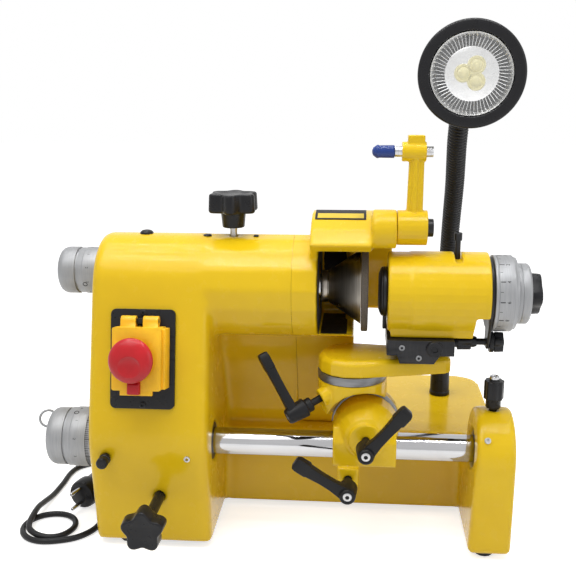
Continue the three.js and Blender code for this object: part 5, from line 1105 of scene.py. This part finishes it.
class GRINDER_OT_knobs(bpy.types.Operator):
    """Mould the star knobs, the pull pin and the post knob."""
    bl_idname = "grinder.knobs"
    bl_label = "Knobs"

    def execute(self, context):
        place = along_axis(at(*SLEEVE_KNOB_PLACE), Z_AXIS)
        head = lobed("sleeve_clamp_head", 29.0, 6, 0.12, 25, 47, 2.5)
        rounded(head, 0.0032, 4, 40)
        hub = drawn("sleeve_clamp_hub", [(8, 11.4), (8.6, 12.3), (22, 13.6), (27, 15.0), (30, 16)], 48)
        rounded(hub, 0.0005)
        knob = placed(joined("sleeve_clamp_moulded", [head, hub]), place)
        finished(knob, "sleeve_clamp_knob", "satin_moulding", ("sleeve_clamp_knob",),
                 angle=38)
        stud = drawn("sleeve_clamp_stud", [(-31.2, 4), (8.5, 4)], 32)
        placed(stud, place)
        finished(stud, "sleeve_clamp_knob", "alloy")

        front = Vector((ORIGIN.x - 55 * MM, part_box("front_star_knob")[0].y, 66.8 * MM))
        place = Matrix.Translation(front) @ Matrix.Rotation(math.pi / 2, 4, "X")
        head = lobed("front_star_head", 23.5, 5, 0.13, -20, 0, 2.0)
        rounded(head, 0.0026, 4, 40)
        hub = drawn("front_star_hub", [(-29.5, 11.6), (-28.5, 12.6), (-18, 14.4)], 48)
        rounded(hub, 0.0005)
        rod = drawn("front_star_rod", [(-104, 6), (-27, 6)], 40)
        knob = placed(joined("front_star_moulded", [head, hub, rod]), place)
        finished(knob, "front_star_knob", "satin_moulding", ("front_star_knob",), angle=38)

        low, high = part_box("pull_pin")
        front = Vector(((low.x + high.x) / 2, low.y, (low.z + high.z) / 2))
        outward = Matrix.Rotation(math.pi / 2, 3, "X") @ Z_AXIS
        pin = [(-31, 4), (-16.4, 4), (-16.4, 5.6), (-15.8, 6.2), (-12, 6.2), (-11, 5.0), (-9, 5.0), (-8, 6.2),
               (-2, 6.2), (-0.8, 5.6), (0, 4.2)]
        turned_piece("pull_pin_turned", pin, front, outward, "pull_pin", "satin_moulding",
                     ("pull_pin",), sides=40, edge=0.0003)

        place = along_axis(at(*POST_KNOB_PLACE), Z_AXIS)
        collar = drawn("post_knob_collar", [(-15.9, 4.2), (2, 4.2), (2, 7.4), (2.8, 8.2), (12, 8.2),
                                            (12, 9.4)], 40)
        rounded(collar, 0.0003)
        grip = lobed("post_knob_grip", 10.8, 8, 0.045, 12, 33.4)
        rounded(grip, 0.0012, 3)
        top = drawn("post_knob_top", [(33, 7.6), (34, 6.4)], 40)
        knob = placed(joined("post_knob_moulded", [collar, grip, top]), place)
        finished(knob, "post_knob", "satin_moulding", ("post_knob",), angle=38)
        tip = drawn("post_knob_tip", [(33.5, 5.4), (37.6, 5.4), (38.5, 4.6), (38.5, 3.2), (36.8, 2.8)], 40)
        rounded(tip, 0.0003)
        placed(tip, place)
        finished(tip, "post_knob", "bright")
        return {"FINISHED"}


# Dresser's small pieces

class GRINDER_OT_dresser(bpy.types.Operator):
    """Turn the dresser's pivot and its diamond's cap."""
    bl_idname = "grinder.dresser"
    bl_label = "Wheel dresser"

    def execute(self, context):
        low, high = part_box("diamond_cap")
        start = low.x / MM
        end = high.x / MM
        cap = [(start, 1.6), (start + 1.2, 4.2), (start + 4.2, 6.4), (start + 5.2, 7.0), (start + 6.4, 7.0),
               (start + 7.4, 6.5), (end - 0.8, 6.7), (end, 6.4), (end, 4.3), (start + 8, 4.3)]
        turned_piece("diamond_cap_moulded", cap, middle_line(low, high), X_AXIS, "diamond_cap", "cap",
                     ("diamond_cap",), sides=48, edge=0.0004)
        low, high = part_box("dresser_pivot")
        end = high.x / MM
        pivot = drawn("dresser_pivot_turned", [(low.x / MM, 6), (end - 6.3, 6), (end - 6.3, 9.5),
                                               (end - 0.6, 9.5), (end, 8.9)], 48)
        socket = drawn("pivot_socket", [(end - 3.6, 4.4), (end + 2, 4.4)], 6)
        united(pivot, socket, "DIFFERENCE")
        placed(pivot, along_axis(middle_line(low, high), X_AXIS))
        finished(pivot, "machine_frame", "oxide", ("dresser_pivot",))
        return {"FINISHED"}


# Switch

SWITCH_FRAME = Matrix.Translation(at(*SWITCH_PLACE)) @ Matrix.Rotation(math.radians(SWITCH_LEAN), 4, "X")
# In this frame X runs to the right, Y up the plate and Z out of it
SWITCH_OUT = SWITCH_FRAME @ Matrix.Rotation(math.pi / 2, 4, "X")
MUSHROOM_OUTLINE = [
    (22, 6), (24.3, 6), (24.3, 11), (36.6, 11), (36.6, 20.6), (38.6, 22.8), (40.4, 23.6), (42.2, 23.3),
    (44.4, 21.4), (46.2, 17.6), (47.5, 12.6), (48.2, 6.5), (48.3, 2),
]


class GRINDER_OT_switch(bpy.types.Operator):
    """Mould the stop mushroom, its latch and the cover's frame, and set the plate's screws."""
    bl_idname = "grinder.switch"
    bl_label = "Switch"

    def execute(self, context):
        head = drawn("stop_mushroom_moulded", MUSHROOM_OUTLINE, 96)
        rounded(head, segments=3)
        dent = drawn("thumb_dent", [(45.6, 3), (46, 9.4), (47.6, 12.4), (52, 16)], 64)
        placed(dent, Matrix.Translation((0, -0.0078, 0)))
        united(head, dent, "DIFFERENCE")
        placed(head, SWITCH_OUT @ Matrix.Translation((-0.003, 0.060, 0)))
        finished(head, "stop_mushroom", "stop", ("stop_mushroom",), angle=30)
        latch = lofted("stop_latch", [(30.2, 0, 0, 14.5, 13), (32.6, 0, -0.5, 13.6, 12.6),
                                      (35, 0, -1.6, 11.5, 10.4)])
        rounded(latch, 0.0007)
        placed(latch, SWITCH_OUT @ Matrix.Translation((-0.002, 0.0308, 0)))
        finished(latch, "switch_cover", "stop")
        rail = lofted("cover_rail", [(6, 0, 0, 5.0, 64), (24, 0, 0, 4.4, 63.4), (25, 0, 0, 3.6, 62.6)])
        rounded(rail, 0.0005)
        placed(rail, SWITCH_OUT @ Matrix.Translation((0.0275, 0.0605, 0)))
        finished(rail, "switch_cover", "cover")
        screw = socket_screw("plate_screw", 3.6, 1.6)
        screws = copied(screw, [SWITCH_OUT @ Matrix.Translation(Vector((0.5, height, 4.4)) * MM)
                                for height in (8.6, 107.4)], "plate_screws")
        finished(screws, "machine_frame", "oxide")
        return {"FINISHED"}


# Lamp

NECK_POINTS = [
    (271, 262, 148), (271.74, 262, 170.17), (273.96, 262, 221.9), (275.06, 257.44, 295.8),
    (274.69, 236.14, 343.84), (273.59, 207.24, 388.18), (269.52, 158.57, 450.99), (271, 138.79, 484.25),
    (278.93, 129.73, 517.5), (276.39, 109.89, 517.5),
]
LAMP_FRAME = Matrix.Translation(at(*LAMP_PLACE)) @ Matrix.Rotation(math.radians(LAMP_TURN), 4, "Z")
# In this frame Z runs from the lamp's front to its back
LAMP_BACK = LAMP_FRAME @ Matrix.Rotation(-math.pi / 2, 4, "X")
# Radii of the neck over one rib, of its bare ends, and of its last points, from the tip
RIB_RADII = (9.9, 11.3, 11.6, 11.3)
END_RADIUS = 9.6
TIP_RADII = (0.8, 3.6, 7.2)
# Steps of the neck without ribs at each end
BARE_STEPS = 15
BASE_OUTLINE = [
    (98.3, 13.0), (99.2, 13.4), (103, 13.4), (104, 12.6), (150, 12.4), (154.4, 12.0), (156.3, 10.4),
]
SHELL_OUTLINE = [
    (0, 43.4), (0, 52.2), (0.6, 53.6), (2, 54.6), (19, 54.6), (21, 54.0), (24, 51.6), (30, 44.2), (36, 36),
    (40, 32), (40, 14), (49.9, 13.2), (49.9, 4), (22, 4), (22, 25), (18, 34), (4, 42.5), (1, 42.7),
]
LENS_OUTLINE = [
    (10.2, 9.4), (8.6, 9.4), (8.0, 8.8), (8.0, 7.0), (8.7, 6.6), (7.2, 4.4), (6.6, 2.2), (6.5, 0.6),
]
# Fins of the reflector
VANES = 60


class GRINDER_OT_lamp(bpy.types.Operator):
    """Build the lamp: its ribbed neck, its housing, the finned reflector and the three diodes."""
    bl_idname = "grinder.lamp"
    bl_label = "Lamp"

    def execute(self, context):
        points = [at(*point) for point in NECK_POINTS]
        _, length = sampled(points, 10)
        ribs = round((length - 0.030) / sizes().rib_pitch)
        places, _ = sampled(points, ribs * len(RIB_RADII) + 2 * BARE_STEPS)
        line = bpy.data.curves.new("lamp_gooseneck", "CURVE")
        line.dimensions = "3D"
        line.bevel_depth = 0.001
        line.bevel_resolution = 5
        line.use_fill_caps = True
        spline = line.splines.new("POLY")
        spline.points.add(len(places) - 1)
        for i, place in enumerate(places):
            spline.points[i].co = (*place, 1.0)
            ribbed = BARE_STEPS <= i < len(places) - BARE_STEPS
            spline.points[i].radius = RIB_RADII[i % len(RIB_RADII)] if ribbed else END_RADIUS
        for point, radius in zip(reversed(spline.points), TIP_RADII):
            point.radius = radius
        neck = bpy.data.objects.new("lamp_gooseneck", line)
        context.scene.collection.objects.link(neck)
        only(neck)
        bpy.ops.object.convert(target="MESH")
        neck = context.object
        base = drawn("lamp_base", BASE_OUTLINE, 64)
        rounded(base, 0.0004)
        placed(base, along_axis(at(*LAMP_FOOT), Z_AXIS))
        neck = joined("lamp_gooseneck", [neck, base])
        finished(neck, "machine_frame", "satin_moulding", ("lamp_neck",), angle=60)

        housing = drawn("lamp_shell", SHELL_OUTLINE, 128, hollow=True)
        rounded(housing)
        placed(housing, LAMP_BACK)
        finished(housing, "lamp", "satin_moulding", ("lamp_housing",), angle=35)
        rim = drawn("lamp_reflector_rim", [(4.2, 41.8), (13.8, 35.4), (14.6, 35.4), (5.4, 42.3)], 96,
                    hollow=True)
        plate = drawn("lamp_core", [(19.5, 27.5), (10.4, 27.5), (10.0, 26.8), (10.0, 3)], 96)
        reflector = placed(joined("lamp_reflector", [rim, plate]), LAMP_BACK)
        finished(reflector, "lamp", "reflector")
        vane = block("vane", (27.2, -0.3, 11.0), (36.6, 0.3, 18.0))
        vanes = copied(vane, [LAMP_BACK @ Matrix.Rotation(2 * math.pi * i / VANES, 4, "Z")
                              @ Matrix.Rotation(0.35, 4, "X") for i in range(VANES)], "lamp_vanes")
        finished(vanes, "lamp", "reflector")
        lens = drawn("lens", LENS_OUTLINE, 48)
        rounded(lens, 0.0002)
        lenses = copied(lens, [LAMP_BACK @ Matrix.Translation(Vector((x, y, 0)) * MM)
                               for x, y in ((4.6, -8.9), (-8.4, -0.8), (4.8, 7.4))], "lamp_diodes")
        finished(lenses, "lamp", "diode")
        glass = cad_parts["lamp_glass"]
        glass.data.materials.clear()
        glass.data.materials.append(FINISHES["glass"])
        return {"FINISHED"}


# Fasteners and label

# Place on the nose, how deep it is sunk, and its width and height as shares of the plug's
NOSE_PLUGS = [
    (-78.5, 86, 0.2, 1.25, 1.3),
    (-8.5, 80, 0.6, 0.8, 0.5),
    (45.8, 80, 0.6, 0.5, 0.4),
]


class GRINDER_OT_fasteners(bpy.types.Operator):
    """Set the plugs and small screws of the castings."""
    bl_idname = "grinder.fasteners"
    bl_label = "Fasteners"

    def execute(self, context):
        plug = drawn("top_plug", [(-1.5, 6), (0.4, 6), (1.6, 5.4), (2.6, 4.0), (3.1, 1.6)], 40)
        plugs = copied(plug, [along_axis(at(x, y, NOSE_TOP - sunk), Z_AXIS)
                              @ Matrix.Diagonal((wide, wide, tall, 1))
                              for x, y, sunk, wide, tall in NOSE_PLUGS], "nose_plugs")
        finished(plugs, "machine_frame", "satin_moulding")
        screw = socket_screw("casting_screw", 3.4, 2.5)
        screws = copied(screw, [along_axis(at(-21.6, -7.4, 115.4), -Y_AXIS),
                                along_axis(at(298.6, 9.4, 140.9), Vector((0, -0.83, 0.56)))],
                        "casting_screws")
        finished(screws, "machine_frame", "alloy")
        gib = socket_screw("gib_screw", 3.2, 2.5)
        gibs = copied(gib, [along_axis(at(223.9, 19.4, 227.0), -Y_AXIS),
                            along_axis(at(206, 19.4, 238), -Y_AXIS)], "gib_screws")
        finished(gibs, "arm", "ring")
        boss = drawn("gib_boss", [(-2, 8.2), (2.6, 8.2), (3.2, 7.6), (3.2, 3.6), (1.6, 3.2)], 48)
        placed(boss, along_axis(at(240.0, 20, 237.5), -Y_AXIS))
        finished(boss, "arm", "satin_moulding")
        return {"FINISHED"}


class GRINDER_OT_label(bpy.types.Operator):
    """Lay the bare label plate on the guard's hood."""
    bl_idname = "grinder.label"
    bl_label = "Label plate"

    def execute(self, context):
        place = Matrix.Translation(at(0, *SPINDLE_LINE))
        border = placed(spun("label_border", 84.9, 0.5, 112.0, 166.5, -2, 20.5), place)
        finished(border, "machine_frame", "ink")
        field = placed(spun("label_field", 85.3, 0.25, 114.6, 163.9, 10.2, 18.6), place)
        finished(field, "machine_frame", "plate")
        return {"FINISHED"}


# Stage

# The camera's place in millimetres and its directions, solved from the photograph's edges
CAMERA_PLACE = (159.76, -845.28, 512.43)
CAMERA_LENS = 53.44
SENSOR_WIDTH = 36.0
CAMERA_RIGHT = Vector((0.9964, 0.0842, -0.0029))
CAMERA_DOWN = Vector((0.0171, -0.2362, -0.9715))
# Strength of the world as a light, and of the floor's own white where it is looked at
WORLD_LIGHT = 0.42
FLOOR_WHITE = 0.68
KEY_WATTS, SIDE_WATTS, STRIP_WATTS = 10.0, 5.0, 3.6
STRIPS = 5


def add_light(name, place, target, size, power):
    """A white rectangular lamp that looks at a target."""
    light = bpy.data.lights.new(name, "AREA")
    light.shape = "RECTANGLE"
    light.size, light.size_y = size
    light.energy = power
    holder = bpy.data.objects.new(name, light)
    bpy.context.scene.collection.objects.link(holder)
    holder.location = place
    holder.rotation_mode = "QUATERNION"
    holder.rotation_quaternion = (target - place).to_track_quat("-Z", "Y")


class GRINDER_OT_stage(bpy.types.Operator):
    """Set the camera, the lamps, the world and the pale floor."""
    bl_idname = "grinder.stage"
    bl_label = "Stage"

    def execute(self, context):
        scene = context.scene
        scene.view_settings.view_transform = "Standard"
        lens = bpy.data.cameras.new("view")
        lens.lens = CAMERA_LENS
        lens.sensor_width = SENSOR_WIDTH
        lens.clip_start, lens.clip_end = 0.05, 50.0
        camera = bpy.data.objects.new("view", lens)
        scene.collection.objects.link(camera)
        back = CAMERA_RIGHT.cross(-CAMERA_DOWN).normalized()
        turn = Matrix((CAMERA_RIGHT.normalized(), -CAMERA_DOWN.normalized(), back)).transposed()
        camera.matrix_world = Matrix.Translation(at(*CAMERA_PLACE)) @ turn.to_4x4()
        scene.camera = camera

        world = scene.world or bpy.data.worlds.new("world")
        scene.world = world
        world.use_nodes = True
        tree = world.node_tree
        tree.nodes.clear()
        sky = tree.nodes.new("ShaderNodeBackground")
        sky.inputs["Color"].default_value = (1, 1, 1, 1)
        sky.inputs["Strength"].default_value = WORLD_LIGHT
        white = tree.nodes.new("ShaderNodeBackground")
        white.inputs["Color"].default_value = (1, 1, 1, 1)
        white.inputs["Strength"].default_value = 1.0
        mix = tree.nodes.new("ShaderNodeMixShader")
        out = tree.nodes.new("ShaderNodeOutputWorld")
        tree.links.new(seen_rays(tree, 1.0), mix.inputs["Fac"])
        tree.links.new(sky.outputs[0], mix.inputs[1])
        tree.links.new(white.outputs[0], mix.inputs[2])
        tree.links.new(mix.outputs[0], out.inputs["Surface"])

        clear_selection()
        bpy.ops.mesh.primitive_plane_add(size=12.0)
        floor = bpy.context.object
        floor.name = "floor"
        floor.data.materials.append(floor_material())

        middle = at(90, 120, 220)
        add_light("key_light", middle + Vector((-0.7, -0.9, 1.6)), middle, (1.4, 1.0), KEY_WATTS)
        add_light("side_light", middle + Vector((1.6, -0.9, 0.6)), middle, (0.9, 1.2), SIDE_WATTS)
        for i in range(STRIPS):
            above = middle + Vector((0, -0.62 + 0.24 * i, 1.35))
            add_light("strip_light", above, middle, (1.5, 0.02), STRIP_WATTS)
        return {"FINISHED"}


def floor_material():
    """A pale floor that keeps the soft shadow, and is else white to the eye and in reflections."""
    material = bpy.data.materials.new("pale_floor")
    material.use_nodes = True
    tree = material.node_tree
    shader = tree.nodes["Principled BSDF"]
    shader.inputs["Base Color"].default_value = (0.80, 0.80, 0.80, 1.0)
    shader.inputs["Roughness"].default_value = 0.9
    shader.inputs["Specular IOR Level"].default_value = 0.05
    shader.inputs["Emission Color"].default_value = (1, 1, 1, 1)
    tree.links.new(seen_rays(tree, FLOOR_WHITE), shader.inputs["Emission Strength"])
    return material


def seen_rays(tree, strength):
    """The strength for camera, glossy and transmission rays, and nothing for the rest."""
    rays = tree.nodes.new("ShaderNodeLightPath")
    last = rays.outputs["Is Camera Ray"]
    for name in ("Is Glossy Ray", "Is Transmission Ray"):
        either = tree.nodes.new("ShaderNodeMath")
        either.operation = "MAXIMUM"
        tree.links.new(last, either.inputs[0])
        tree.links.new(rays.outputs[name], either.inputs[1])
        last = either.outputs[0]
    times = tree.nodes.new("ShaderNodeMath")
    times.operation = "MULTIPLY"
    times.inputs[1].default_value = strength
    tree.links.new(last, times.inputs[0])
    return times.outputs[0]


OPERATORS = [
    GRINDER_OT_stage, GRINDER_OT_finishes, GRINDER_OT_cord, GRINDER_OT_castings, GRINDER_OT_dials,
    GRINDER_OT_wheel, GRINDER_OT_guide_bar, GRINDER_OT_work_head, GRINDER_OT_levers, GRINDER_OT_knobs,
    GRINDER_OT_dresser, GRINDER_OT_switch, GRINDER_OT_lamp, GRINDER_OT_fasteners, GRINDER_OT_label,
]


class GRINDER_PT_panel(bpy.types.Panel):
    """Lists the grinder's sizes, colours and pieces."""
    bl_idname = "GRINDER_PT_panel"
    bl_label = "Cutter grinder"
    bl_space_type = "VIEW_3D"
    bl_region_type = "UI"
    bl_category = "Grinder"

    def draw(self, context):
        layout = self.layout
        for group in (context.scene.grinder_sizes, context.scene.grinder_colours):
            for name in group.__annotations__:
                layout.prop(group, name)
        for operator in OPERATORS:
            layout.operator(operator.bl_idname)


CLASSES = [GrinderSizes, GrinderColours, *OPERATORS, GRINDER_PT_panel]


def register():
    for made in CLASSES:
        bpy.utils.register_class(made)
    bpy.types.Scene.grinder_sizes = PointerProperty(type=GrinderSizes)
    bpy.types.Scene.grinder_colours = PointerProperty(type=GrinderColours)


def unregister():
    del bpy.types.Scene.grinder_colours
    del bpy.types.Scene.grinder_sizes
    for made in reversed(CLASSES):
        bpy.utils.unregister_class(made)


def main():
    register()
    for operator in OPERATORS:
        step = operator.bl_idname.split(".")[1]
        getattr(bpy.ops.grinder, step)()


if __name__ == "__main__":
    main()
